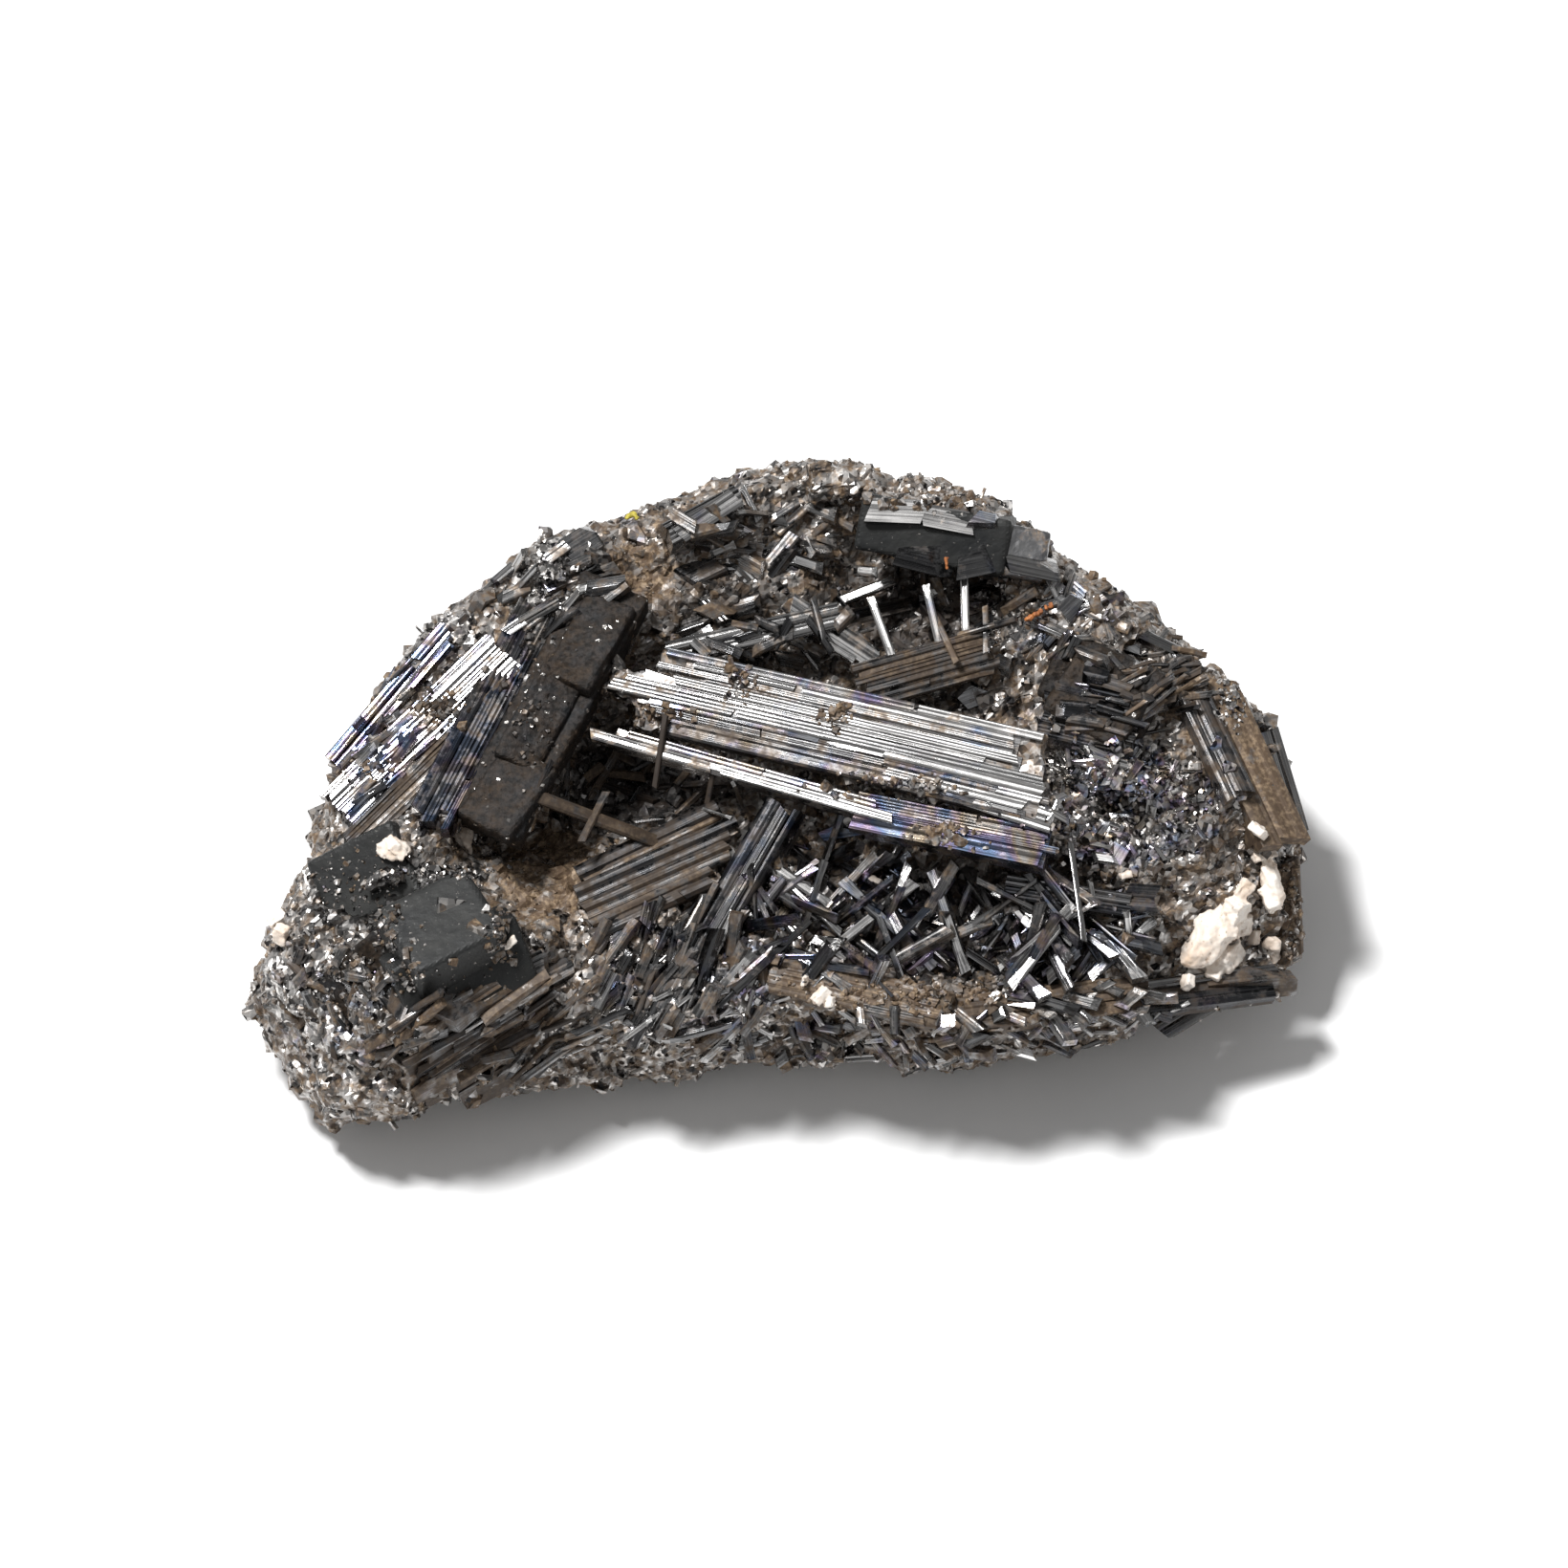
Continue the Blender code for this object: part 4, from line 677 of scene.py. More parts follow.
def crystal_finish():
    """Striated crystal faces, from dark steel to silver, tarnished and dusted by the piece's tone, with
    painted shade in the grooves of the striae.
    """
    material, tree, shader = new_finish("crystal_faces")
    bright, tarnish, dust = tone_of(tree)[:3]
    lines = use_group(tree, STRIAE, Lines=5.0, Break=0.06)
    sheen = patches(tree, scale=210.0, amount=0.56, edge=0.16)
    bright = maths(tree, "MULTIPLY", bright, spread(tree, sheen, 0.0, 1.0, 0.55, 1.0))
    dark = blend(tree, bright, (0.016, 0.017, 0.020, 1.0), (0.26, 0.255, 0.25, 1.0))
    dark = blend(tree, spread(tree, bright, 0.88, 1.0), dark, (0.75, 0.75, 0.76, 1.0))
    light = blend(tree, bright, (0.075, 0.077, 0.082, 1.0), (0.96, 0.94, 0.92, 1.0))
    # painted shade: the stria tone darkens the grooves between the raised lines
    steel = blend(tree, lines["Tone"], dark, light)
    metal = tarnished(tree, steel, film_scale=260.0, drift_scale=330.0, amount=tarnish)
    dirt = patches(tree, scale=620.0, amount=dust, edge=0.10)
    bump = put(tree, "Bump", Strength=0.55, Distance=0.00006, Height=lines["Height"])
    dusty(tree, shader, metal, bump.outputs[0], dirt, 0.17, bright)
    return material


def druse_finish(name, scale, tilt):
    """A crumb of tiny facets, each with its own brightness, and brown dust between."""
    material, tree, shader = new_finish(name)
    bright, tarnish, dust = tone_of(tree)[:3]
    facets = use_group(tree, GLITTER, Scale=scale, Tilt=tilt)
    rare = maths(tree, "POWER", facets["Facet"], 1.7)
    level = maths(tree, "MULTIPLY", rare, maths(tree, "ADD", bright, 0.28), clamp=True)
    metal = blend(tree, level, (0.022, 0.021, 0.022, 1.0), (0.90, 0.87, 0.84, 1.0))
    tinted = tarnished(tree, metal, film_scale=420.0, drift_scale=360.0, amount=tarnish)
    dirt = patches(tree, scale=900.0, amount=dust, edge=0.12)
    dusty(tree, shader, tinted, facets["Normal"], dirt, 0.33, bright)
    return material


def matte_finish():
    """The dull grey-green face of the corner block, with fine scratches and grey bloom."""
    material, tree, shader = new_finish("matte_block_face")
    bloom = patches(tree, scale=240.0, amount=0.45, edge=0.25)
    base = blend(tree, bloom, (0.012, 0.013, 0.014, 1.0), (0.030, 0.030, 0.028, 1.0))
    specks = patches(tree, scale=2600.0, amount=0.12, edge=0.04)
    feed(tree, shader.inputs["Base Color"], blend(tree, specks, base, (0.30, 0.28, 0.26, 1.0)))
    feed(tree, shader.inputs["Roughness"], spread(tree, bloom, 0.0, 1.0, 0.42, 0.58))
    shader.inputs["Metallic"].default_value = 0.35
    shader.inputs["Specular IOR Level"].default_value = 0.35
    bump = rough_bump(tree, strength=0.45, distance=0.00006, scale=2400.0, detail=6.0, roughness=0.75)
    feed(tree, shader.inputs["Normal"], bump.outputs[0])
    return material


def slab_finish():
    """The brown crusted faces of the big slabs: dark steel under brown dust with bright specks."""
    material, tree, shader = new_finish("crusted_slab")
    facets = use_group(tree, GLITTER, Scale=3600.0, Tilt=0.30)
    dirt = patches(tree, scale=420.0, amount=0.60, edge=0.16)
    fine = patches(tree, scale=1700.0, amount=0.5, edge=0.12)
    steel = blend(tree, fine, (0.008, 0.009, 0.010, 1.0), (0.024, 0.024, 0.026, 1.0))
    brown = blend(tree, fine, (0.009, 0.006, 0.004, 1.0), (0.030, 0.019, 0.011, 1.0))
    base = blend(tree, dirt, steel, brown)
    glint = spread(tree, facets["Facet"], 0.988, 0.994)
    feed(tree, shader.inputs["Base Color"], blend(tree, glint, base, (0.80, 0.76, 0.72, 1.0)))
    feed(tree, shader.inputs["Metallic"], maths(tree, "MAXIMUM", glint, 0.35))
    feed(tree, shader.inputs["Roughness"], spread(tree, glint, 0.0, 1.0, 0.60, 0.18))
    shader.inputs["Specular IOR Level"].default_value = 0.3
    bump = rough_bump(tree, strength=0.6, distance=0.00016, scale=1300.0, detail=6.0, roughness=0.75)
    feed(tree, bump.inputs["Normal"], facets["Normal"])
    feed(tree, shader.inputs["Normal"], bump.outputs[0])
    return material


def block_finish():
    """Smooth grey crystal faces with a little tarnish, cracks and dust."""
    material, tree, shader = new_finish("smooth_blocks")
    bloom = patches(tree, scale=300.0, amount=0.5, edge=0.2)
    steel = blend(tree, bloom, (0.10, 0.10, 0.11, 1.0), (0.34, 0.34, 0.34, 1.0))
    dirt = patches(tree, scale=700.0, amount=0.30, edge=0.07)
    bump = rough_bump(tree, strength=0.16, distance=0.0003, scale=520.0, detail=4.0, roughness=0.55)
    dusty(tree, shader, steel, bump.outputs[0], dirt, 0.30, 0.5)
    return material


def calcite_finish():
    """Chalky cream calcite, warmer in its folds."""
    material, tree, shader = new_finish("chalky_calcite")
    warm = patches(tree, scale=520.0, amount=0.42, edge=0.22)
    base = blend(tree, warm, (0.86, 0.81, 0.75, 1.0), (0.66, 0.50, 0.37, 1.0))
    dirt = patches(tree, scale=1500.0, amount=0.16, edge=0.08)
    feed(tree, shader.inputs["Base Color"], blend(tree, dirt, base, (0.32, 0.22, 0.15, 1.0)))
    feed(tree, shader.inputs["Roughness"], spread(tree, warm, 0.0, 1.0, 0.48, 0.70))
    bump = rough_bump(tree, strength=0.5, distance=0.0001, scale=2400.0, detail=5.0)
    feed(tree, shader.inputs["Normal"], bump.outputs[0])
    return material


def stain_finish(name, pale, deep):
    """A small coloured crumb, mottled between two colours."""
    material, tree, shader = new_finish(name)
    mottle = patches(tree, scale=1600.0, amount=0.5, edge=0.15)
    feed(tree, shader.inputs["Base Color"], blend(tree, mottle, pale, deep))
    feed(tree, shader.inputs["Roughness"], spread(tree, mottle, 0.0, 1.0, 0.55, 0.8))
    return material


CRYSTAL = crystal_finish()
SKIN_DRUSE = druse_finish("skin_druse", 1700.0, 0.62)
GRAIN_DRUSE = druse_finish("grain_druse", 2600.0, 0.18)
CALCITE = calcite_finish()
SLAB_FINISHES = {"slab": slab_finish(), "matte": matte_finish(), "block": block_finish()}
RUST = stain_finish("rust", (0.46, 0.17, 0.05, 1.0), (0.20, 0.06, 0.02, 1.0))
YELLOW = stain_finish("yellow_speck", (0.55, 0.47, 0.06, 1.0), (0.24, 0.19, 0.03, 1.0))


# Small forms, each modelled once at unit size and copied many times


class Form:
    """The points and faces of a small shape of unit size, read from a modelled object."""

    def __init__(self, made):
        self.points = np.array([vertex.co[:] for vertex in made.data.vertices])
        self.faces = [tuple(face.vertices) for face in made.data.polygons]
        bpy.data.objects.remove(made)


def edit_cube():
    """A unit cube, the only selected object, with none of its edges or faces selected."""
    bpy.ops.object.select_all(action="DESELECT")
    bpy.ops.mesh.primitive_cube_add(size=1.0)
    bpy.ops.object.mode_set(mode="EDIT")
    bpy.ops.mesh.select_all(action="DESELECT")
    bpy.ops.object.mode_set(mode="OBJECT")
    return bpy.context.object


def lowered_form(made):
    """The form of a unit object in edit mode, once it is moved down so that its top lies at z = 0."""
    bpy.ops.mesh.select_all(action="SELECT")
    bpy.ops.transform.translate(value=(0.0, 0.0, -0.5))
    bpy.ops.object.mode_set(mode="OBJECT")
    return Form(made)


def lath_form():
    """A lath along x with chamfered upper edges; its broad face lies at z = 0."""
    made = edit_cube()
    for edge in made.data.edges:
        a, b = (made.data.vertices[i].co for i in edge.vertices)
        edge.select = a.z > 0 and b.z > 0 and abs(a.x - b.x) > 0.5
    bpy.ops.object.mode_set(mode="EDIT")
    bpy.ops.mesh.select_mode(type="EDGE")
    bpy.ops.mesh.bevel(offset=0.20, segments=1)
    return lowered_form(made)


def block_form():
    """A block with chamfered edges and one corner broken off; its broad face lies at z = 0."""
    made = edit_cube()
    bpy.ops.object.mode_set(mode="EDIT")
    bpy.ops.mesh.select_all(action="SELECT")
    bpy.ops.mesh.bevel(offset=0.07, segments=1)
    bpy.ops.mesh.select_all(action="SELECT")
    corner, outward = (0.36, 0.36, 0.3), (1.0, 0.7, 0.5)
    bpy.ops.mesh.bisect(plane_co=corner, plane_no=outward, use_fill=True, clear_outer=True)
    return lowered_form(made)


def striated_form(steps):
    """A lath whose broad face steps up and down across its width."""
    bpy.ops.object.select_all(action="DESELECT")
    rows = len(steps)
    bpy.ops.mesh.primitive_grid_add(x_subdivisions=1, y_subdivisions=rows - 1, size=1.0)
    made = bpy.context.object
    for vertex in made.data.vertices:
        row = round((vertex.co.y + 0.5) * (rows - 1))
        vertex.co.z = steps[row]
    bpy.ops.object.mode_set(mode="EDIT")
    bpy.ops.mesh.select_all(action="SELECT")
    bpy.ops.mesh.extrude_region_move(TRANSFORM_OT_translate={"value": (0.0, 0.0, -1.0)})
    bpy.ops.mesh.select_all(action="SELECT")
    bpy.ops.mesh.normals_make_consistent(inside=False)
    bpy.ops.object.mode_set(mode="OBJECT")
    return Form(made)


def rib_form():
    """A rounded rib along x; its crest lies at z = 0."""
    bpy.ops.object.select_all(action="DESELECT")
    lying = (0.0, math.pi / 2, 0.0)
    bpy.ops.mesh.primitive_cylinder_add(vertices=10, radius=0.5, depth=1.0, rotation=lying)
    bpy.ops.object.transform_apply(location=False, rotation=True, scale=False)
    bpy.ops.object.mode_set(mode="EDIT")
    return lowered_form(bpy.context.object)


def grain_form():
    """An octahedron."""
    bpy.ops.object.select_all(action="DESELECT")
    bpy.ops.mesh.primitive_uv_sphere_add(segments=4, ring_count=2, radius=0.5)
    return Form(bpy.context.object)


def chip_form(cut):
    """A broken cube: two of its corners are cut away."""
    made = edit_cube()
    bpy.ops.object.mode_set(mode="EDIT")
    for normal in (cut, (-cut[1], cut[0], 0.4)):
        bpy.ops.mesh.select_all(action="SELECT")
        point = Vector(normal).normalized() * 0.34
        bpy.ops.mesh.bisect(plane_co=point, plane_no=normal, use_fill=True, clear_outer=True)
    bpy.ops.object.mode_set(mode="OBJECT")
    return Form(made)


def plate_form():
    """A thin six-sided plate."""
    bpy.ops.object.select_all(action="DESELECT")
    bpy.ops.mesh.primitive_cylinder_add(vertices=6, radius=0.5, depth=0.18)
    return Form(bpy.context.object)


LATH, BLOCK = lath_form(), block_form()
STRIATED = [
    striated_form((-0.10, 0.0, 0.0, -0.05, -0.05, 0.01, 0.01, -0.09)),
    striated_form((-0.06, -0.02, -0.02, -0.02, -0.07, 0.0, 0.0, -0.08)),
    striated_form((-0.12, -0.04, 0.0, 0.0, 0.0, -0.06, -0.03, -0.12)),
]
GRAIN, PLATE, RIB = grain_form(), plate_form(), rib_form()
CHIPS = [chip_form((1.0, 0.5, 0.8)), chip_form((0.4, -1.0, 0.7))]


def joined(name, copies, finish):
    """One mesh from many copies: rows of form, axes (3 x 3), place, size, slant and tone."""
    points, faces, tones, grains = [], [], [], []
    count = 0
    for form, axes, place, size, slant, tone in copies:
        local = form.points * size
        local[:, 0] += local[:, 1] * slant
        points.append(local @ axes.T * MM + place)
        faces.extend(tuple(i + count for i in face) for face in form.faces)
        tones.append(np.tile(tone, (len(local), 1)))
        grains.append(local + (0.0, rng.uniform(0.0, 90.0), 0.0))
        count += len(local)
    mesh = bpy.data.meshes.new(name)
    placed = np.concatenate(points)
    placed[:, 2] = np.maximum(placed[:, 2], 0.0)
    mesh.from_pydata(placed, [], faces)
    mesh.shade_flat()
    write_tones(mesh, np.concatenate(tones))
    grain_data = mesh.attributes.new("grain", "FLOAT_VECTOR", "POINT").data
    grain_data.foreach_set("vector", np.concatenate(grains).astype(np.float32).ravel())
    made = new_object(name, mesh)
    mesh.materials.append(finish)
    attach(made, "root")
    return made


def varied(tone, spread_by):
    """A tone moved a little at random."""
    return tuple(min(1.0, max(0.0, value + rng.uniform(-spread_by, spread_by))) for value in tone)


# The lump's skin


def tree_of(shown):
    """A search tree of the faces of some objects."""
    points, faces = [], []
    for made in shown:
        count = len(points)
        points += [vertex.co for vertex in made.data.vertices]
        faces += [tuple(i + count for i in face.vertices) for face in made.data.polygons]
    return BVHTree.FromPolygons(points, faces)


CORE = tree_of([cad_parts["magnetite_lump"]])


def behind_lump(point):
    """Whether the lump stands between a point on or near its surface and the viewer."""
    return CORE.ray_cast(point + TO_VIEWER * 2 * MM, TO_VIEWER)[0] is not None


def bare_copy(node, name):
    """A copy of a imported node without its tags, its loose triangles merged."""
    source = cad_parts[node]
    made = source.copy()
    made.data = source.data.copy()
    made.name = made.data.name = name
    made.parent = None
    for key in list(made.keys()):
        del made[key]
    bpy.context.scene.collection.objects.link(made)
    select_only(made)
    bpy.ops.object.mode_set(mode="EDIT")
    bpy.ops.mesh.select_all(action="SELECT")
    bpy.ops.mesh.remove_doubles(threshold=0.000001)
    bpy.ops.object.mode_set(mode="OBJECT")
    return made


def surface_tones(points):
    """The tone of the ground at an array of points, blended on the display side from the stretches."""
    right, up = as_seen(points)
    shown = np.array([not behind_lump(Vector(point)) for point in points], dtype=float)
    tones = np.tile(GROUND_TONE, (len(points), 1))
    for (mid_right, mid_up), (wide, tall), tone in STRETCHES.values():
        far = ((right - mid_right) / wide) ** 2 + ((up - mid_up) / tall) ** 2
        share = (np.clip(1.5 - far, 0.0, 1.0) * shown)[:, None]
        tones = tones * (1 - share) + np.array(tone) * share
    return tones


def blade_frame(start, end, roll):
    """A blade's middle, axes and length in millimetres."""
    start, end = seen(*start), seen(*end)
    axis = (end - start).normalized()
    return (start + end) / 2, axes_of(axis, FACE_UP, roll), (end - start).length / MM


def press_under_blades(points):
    """Presses the ground down where a blade's laths lie on it."""
    for start, end, width, _, roll, _ in BLADES.values():
        middle, axes, length = blade_frame(start, end, roll)
        local = (points - np.array(middle)) @ axes / MM
        over = np.abs(local[:, 0]) < length / 2
        over &= np.abs(local[:, 1]) < width / 2 + BED_MARGIN
        over &= (local[:, 2] > -BED_DEPTH) & (local[:, 2] < BED_TOP)
        local[:, 2] = -BED_DEPTH
        points[over] = local[over] @ axes.T * MM + np.array(middle)
    return points


def lump_skin():
    """The broken, druse-covered ground of the whole lump."""
    skin = bare_copy("magnetite_lump", "lump_skin")
    even_faces(skin, SKIN_VOXEL)
    displace(skin, "crags", "VORONOI_F1", size=1.7, strength=-1.0, middle=0.35)
    displace(skin, "crumbs", "ORIGINAL_PERLIN", size=0.75, strength=0.75, middle=0.5)
    apply_all(skin)
    mesh = skin.data
    points = press_under_blades(points_of(mesh))
    points[:, 2] = np.maximum(points[:, 2], 0.0)
    mesh.vertices.foreach_set("co", points.ravel())
    mesh.shade_flat()
    write_tones(mesh, surface_tones(points))
    mesh.materials.clear()
    mesh.materials.append(SKIN_DRUSE)
    mesh.update()
    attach(skin, "root")
    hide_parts("magnetite_lump")
    return skin


SKIN = lump_skin()


# Blades and laths


def shares_of(width, lath_width):
    """Cuts a width into uneven laths: the middle and width of each."""
    count = max(1, round(width / lath_width))
    weights = [rng.uniform(0.45, 1.7) for _ in range(count)]
    laths, edge = [], -width / 2
    for weight in weights:
        wide = weight / sum(weights) * width
        laths.append((edge + wide / 2, wide))
        edge += wide
    return laths


def lath_runs(shortfall, breaks, length):
    """Where along a blade a lath runs, in shares of the length: in one run, or in two if it breaks."""
    first = -0.5 + rng.uniform(0.0, shortfall)
    last = 0.5 - rng.uniform(0.0, shortfall)
    if rng.random() > breaks:
        return [(first, last)]
    cut = rng.uniform(first + 0.2, last - 0.2)
    gap = rng.uniform(0.05, 0.5) / length
    return [(first, cut - gap), (cut + gap, last)]


def blade_laths(start, end, width, thickness, roll, finish):
    """The laths that lie side by side in one blade, and the core that they lie on."""
    middle, axes, length = blade_frame(start, end, roll)
    lath_width, steps, shortfall, breaks, rolls, tone = LAY_UPS[finish]
    axis, side, normal = Vector(axes[:, 0]), Vector(axes[:, 1]), Vector(axes[:, 2])
    dim = (tone[0] * 0.5, tone[1], min(1.0, tone[2] + 0.2))
    core = np.array(middle + normal * (BLADE_LIFT - CORE_DROP) * MM)
    copies = [(LATH, axes, core, (length * CORE_SHARE, width, thickness), 0.0, dim)]
    rise = SILVER_HIGHLIGHT_RISE if finish == "silver" else USUAL_RISE
    for across, wide in shares_of(width, lath_width):
        high = BLADE_LIFT + rng.uniform(-steps, 0.6 * steps)
        leaning = axes_of(axis, normal, rng.gauss(0.0, rolls * 0.6))
        for from_x, to_x in lath_runs(shortfall, breaks, length):
            long = (to_x - from_x) * length
            if long < SHORTEST_LATH:
                continue
            shift = (from_x + to_x) / 2
            lath_tone = varied(tone, TONE_SPREADS.get(finish, USUAL_TONE_SPREAD))
            # each lath is made brighter towards the blade's end, on the silver blades as a painted
            # highlight
            lath_tone = (min(1.0, lath_tone[0] * (1.0 + rise * shift)), *lath_tone[1:])
            place = middle + axis * shift * length * MM
            place += side * across * MM + normal * (high + rng.uniform(-0.05, 0.05)) * MM
            form = rng.choice(STRIATED) if wide > 0.5 else LATH
            size = (long, wide * 1.02, max(0.8, thickness * 0.6))
            if finish == "ribbed":
                form, size = RIB, (long, wide * 1.25, wide * 1.25)
            copies.append((form, leaning, np.array(place), size, rng.uniform(-0.5, 0.5), lath_tone))
    return copies


def blades():
    """All blades but the slabs and blocks, as one joined mesh."""
    copies = []
    for blade in BLADES.values():
        if blade[-1] not in SLAB_FINISHES:
            copies += blade_laths(*blade)
    return joined("striated_blades", copies, CRYSTAL)


def slab_rows():
    """The rows of the slabs and blocks among the blades, each with its name."""
    return [(name, *blade) for name, blade in BLADES.items() if blade[-1] in SLAB_FINISHES]


def slab(name, start, end, width, thickness, roll, finish):
    """A thick slab or block with worn edges and a rough face."""
    middle, axes, length = blade_frame(start, end, roll)
    made = edit_cube()
    made.name = made.data.name = name
    made.scale = Vector((length, width, thickness)) * 1.01 * MM
    made.rotation_euler = Matrix(axes).to_euler()
    made.location = middle - Vector(axes[:, 2]) * (thickness / 2 - 0.05) * MM
    bpy.ops.object.transform_apply(location=True, rotation=True, scale=True)
    bevel = made.modifiers.new("worn_edges", "BEVEL")
    bevel.width = WORN_EDGE * MM
    bevel.segments = 2
    even_faces(made, SLAB_VOXEL)
    rough = SLAB_ROUGHNESS[finish]
    displace(made, name + "_swell", "ORIGINAL_PERLIN", size=2.6, strength=rough * 1.6, middle=0.55)
    displace(made, name + "_pits", "VORONOI_F1", size=0.8, strength=-rough, middle=0.35)
    apply_all(made)
    made.data.shade_flat()
    made.data.materials.append(SLAB_FINISHES[finish])
    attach(made, "root")
    return made


SURFACE = tree_of([SKIN, blades()] + [slab(*row) for row in slab_rows()])


def under(right, up):
    """The surface's point that is seen at right, up, or None beside it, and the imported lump's normal.

    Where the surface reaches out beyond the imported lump, the normal is its own.
    """
    hit, own_normal, _, _ = SURFACE.ray_cast(seen(right, up, SKY), -TO_VIEWER)
    normal = CORE.ray_cast(seen(right, up, SKY), -TO_VIEWER)[1]
    return hit, normal or own_normal


def rest_on(right, up):
    """The point that is seen at right, up, and its normal. Beside the surface it lies as deep as the
    next point further in.
    """
    for step in range(30):
        share = 1.0 - 0.01 * step
        hit, normal = under(right * share, up * share)
        if hit is not None:
            break
    depth = (seen(right, up, SKY) - hit).dot(TO_VIEWER)
    return seen(right, up, SKY) - TO_VIEWER * depth, normal


def place_of(place, lift):
    """The point that stands lift above a place: one on the ground, or one whose height is given."""
    found = seen(*place) if len(place) == 3 else rest_on(*place)[0]
    return found + TO_VIEWER * lift * MM


def picked_laths():
    """The laths and needles that the eye picks out, laid from point to point."""
    copies = []
    for start, end, lift_start, lift_end, width, tone in PICKED.values():
        a, b = place_of(start, lift_start), place_of(end, lift_end)
        axes = axes_of((b - a).normalized(), FACE_UP, rng.uniform(-4, 4))
        size = ((b - a).length / MM, width, width * 0.8)
        form = STRIATED[0] if width > 1.2 else LATH
        copies.append((form, axes, np.array((a + b) / 2), size, rng.uniform(-0.5, 0.5), tone))
    return joined("picked_laths", copies, CRYSTAL)


def tablets():
    """The broken blocks, each half sunk in the ground."""
    copies = []
    for (right, up), long, wide, angle, roll, tone in TABLETS.values():
        hit, normal = rest_on(right, up)
        flat = way_of(angle)
        facing = (FACE_UP * 2 + normal).normalized()
        place = hit + facing * TABLET_LIFT * MM
        axes = axes_of((flat - facing * flat.dot(facing)).normalized(), facing, roll)
        form = rng.choice([BLOCK] + CHIPS)
        if form is not BLOCK:
            place -= facing * CHIP_DROP * MM
        size, slant = (long, wide, TABLET_THICKNESS), rng.uniform(-0.7, 0.7)
        copies.append((form, axes, np.array(place), size, slant, tone))
    return joined("broken_blocks", copies, CRYSTAL)


def over_lump(point):
    """Whether a point is seen against the lump and not beside it."""
    return CORE.ray_cast(point + TO_VIEWER * SKY * MM, -TO_VIEWER)[0] is not None


def heap(middle, half, number, sizes, tone):
    """Crumbs gathered in one place, on the skin, blade or slab that is seen there."""
    copies = []
    for _ in range(number):
        spot = (rng.gauss(middle[0], half[0] * 0.5), rng.gauss(middle[1], half[1] * 0.5))
        hit, normal = under(*spot)
        if hit is None:
            continue
        size = sizes[0] + (sizes[1] - sizes[0]) * rng.random() ** 2
        place = np.array(hit + normal * size * rng.uniform(-0.25, 0.15) * MM)
        axes = random_axes(normal, 0.5)
        stretch = [size * rng.uniform(0.6, 1.3) for _ in range(3)]
        copies.append((rng.choice([GRAIN] + CHIPS), axes, place, stretch, 0.0, varied(tone, 0.25)))
    return copies


def jumble(middle, half, number, lengths, widths, ways, scatter, steep, tone):
    """Laths that lie across each other in one stretch."""
    copies = []
    for _ in range(number):
        angle, out = rng.uniform(0, math.tau), math.sqrt(rng.random())
        spot = (middle[0] + half[0] * out * math.cos(angle), middle[1] + half[1] * out * math.sin(angle))
        hit, normal = under(*spot)
        if hit is None:
            continue
        flat = way_of(rng.choice(ways) + rng.gauss(0.0, scatter * 0.6))
        flat = (flat - normal * flat.dot(normal) * 0.7).normalized()
        lean = math.radians(abs(rng.gauss(0.0, steep * 0.6)))
        axis = (flat * math.cos(lean) + normal * math.sin(lean)).normalized()
        long = rng.uniform(*lengths) * rng.uniform(0.6, 1.0)
        wide = rng.uniform(*widths) * rng.uniform(0.6, 1.0)
        thick = wide * rng.uniform(0.6, 1.1)
        place = hit + normal * (thick * rng.uniform(0.1, 0.8) + math.sin(lean) * long * 0.25) * MM
        reach = axis * long / 2 * MM
        if not (over_lump(place + reach) and over_lump(place - reach)):
            continue
        axes = axes_of(axis, (normal + TO_VIEWER).normalized(), rng.uniform(-40, 40))
        form = rng.choice(STRIATED) if wide > 0.7 and rng.random() < 0.3 else LATH
        size, slant = (long, wide, thick), rng.uniform(-0.7, 0.7)
        copies.append((form, axes, np.array(place), size, slant, varied(tone, 0.22)))
    return copies


def jumbles():
    """The needles of each hollow, and the jumbles of the rest as one piece."""
    loose, crusts = [], {}
    for name, settings in JUMBLES.items():
        copies = jumble(*settings)
        if name in HOLLOW_OF:
            crusts.setdefault(HOLLOW_OF[name], []).extend(copies)
        else:
            loose += copies
    joined("lath_jumbles", loose, CRYSTAL)
    heaped = [crumb for settings in HEAPS.values() for crumb in heap(*settings)]
    joined("heaped_crumbs", heaped, GRAIN_DRUSE)
    for node, copies in crusts.items():
        made = joined(node.replace("_crust", "_needles"), copies, CRYSTAL)
        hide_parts(node)


# Grains, chips and splinters all over the skin


def scatter_spots(count):
    """Random places on the skin above its foot, even by area: point, normal and tone of each."""
    mesh = SKIN.data
    mesh.calc_loop_triangles()
    corners = np.empty(len(mesh.loop_triangles) * 3, dtype=np.int32)
    mesh.loop_triangles.foreach_get("vertices", corners)
    triangles = points_of(mesh)[corners.reshape(-1, 3)]
    cross = np.cross(triangles[:, 1] - triangles[:, 0], triangles[:, 2] - triangles[:, 0])
    area = np.linalg.norm(cross, axis=1)
    draw = np.random.default_rng(rng.randrange(10**6))
    weight = area * (triangles[:, :, 2].mean(axis=1) > LOWEST_CRUMB * MM)
    chosen = draw.choice(len(triangles), size=count, p=weight / weight.sum())
    share = draw.random((count, 2))
    share[share.sum(axis=1) > 1] = 1 - share[share.sum(axis=1) > 1]
    first, second, third = triangles[chosen, 0], triangles[chosen, 1], triangles[chosen, 2]
    spots = first + (second - first) * share[:, :1] + (third - first) * share[:, 1:]
    normals = cross[chosen] / area[chosen, None]
    return spots, normals, surface_tones(spots)


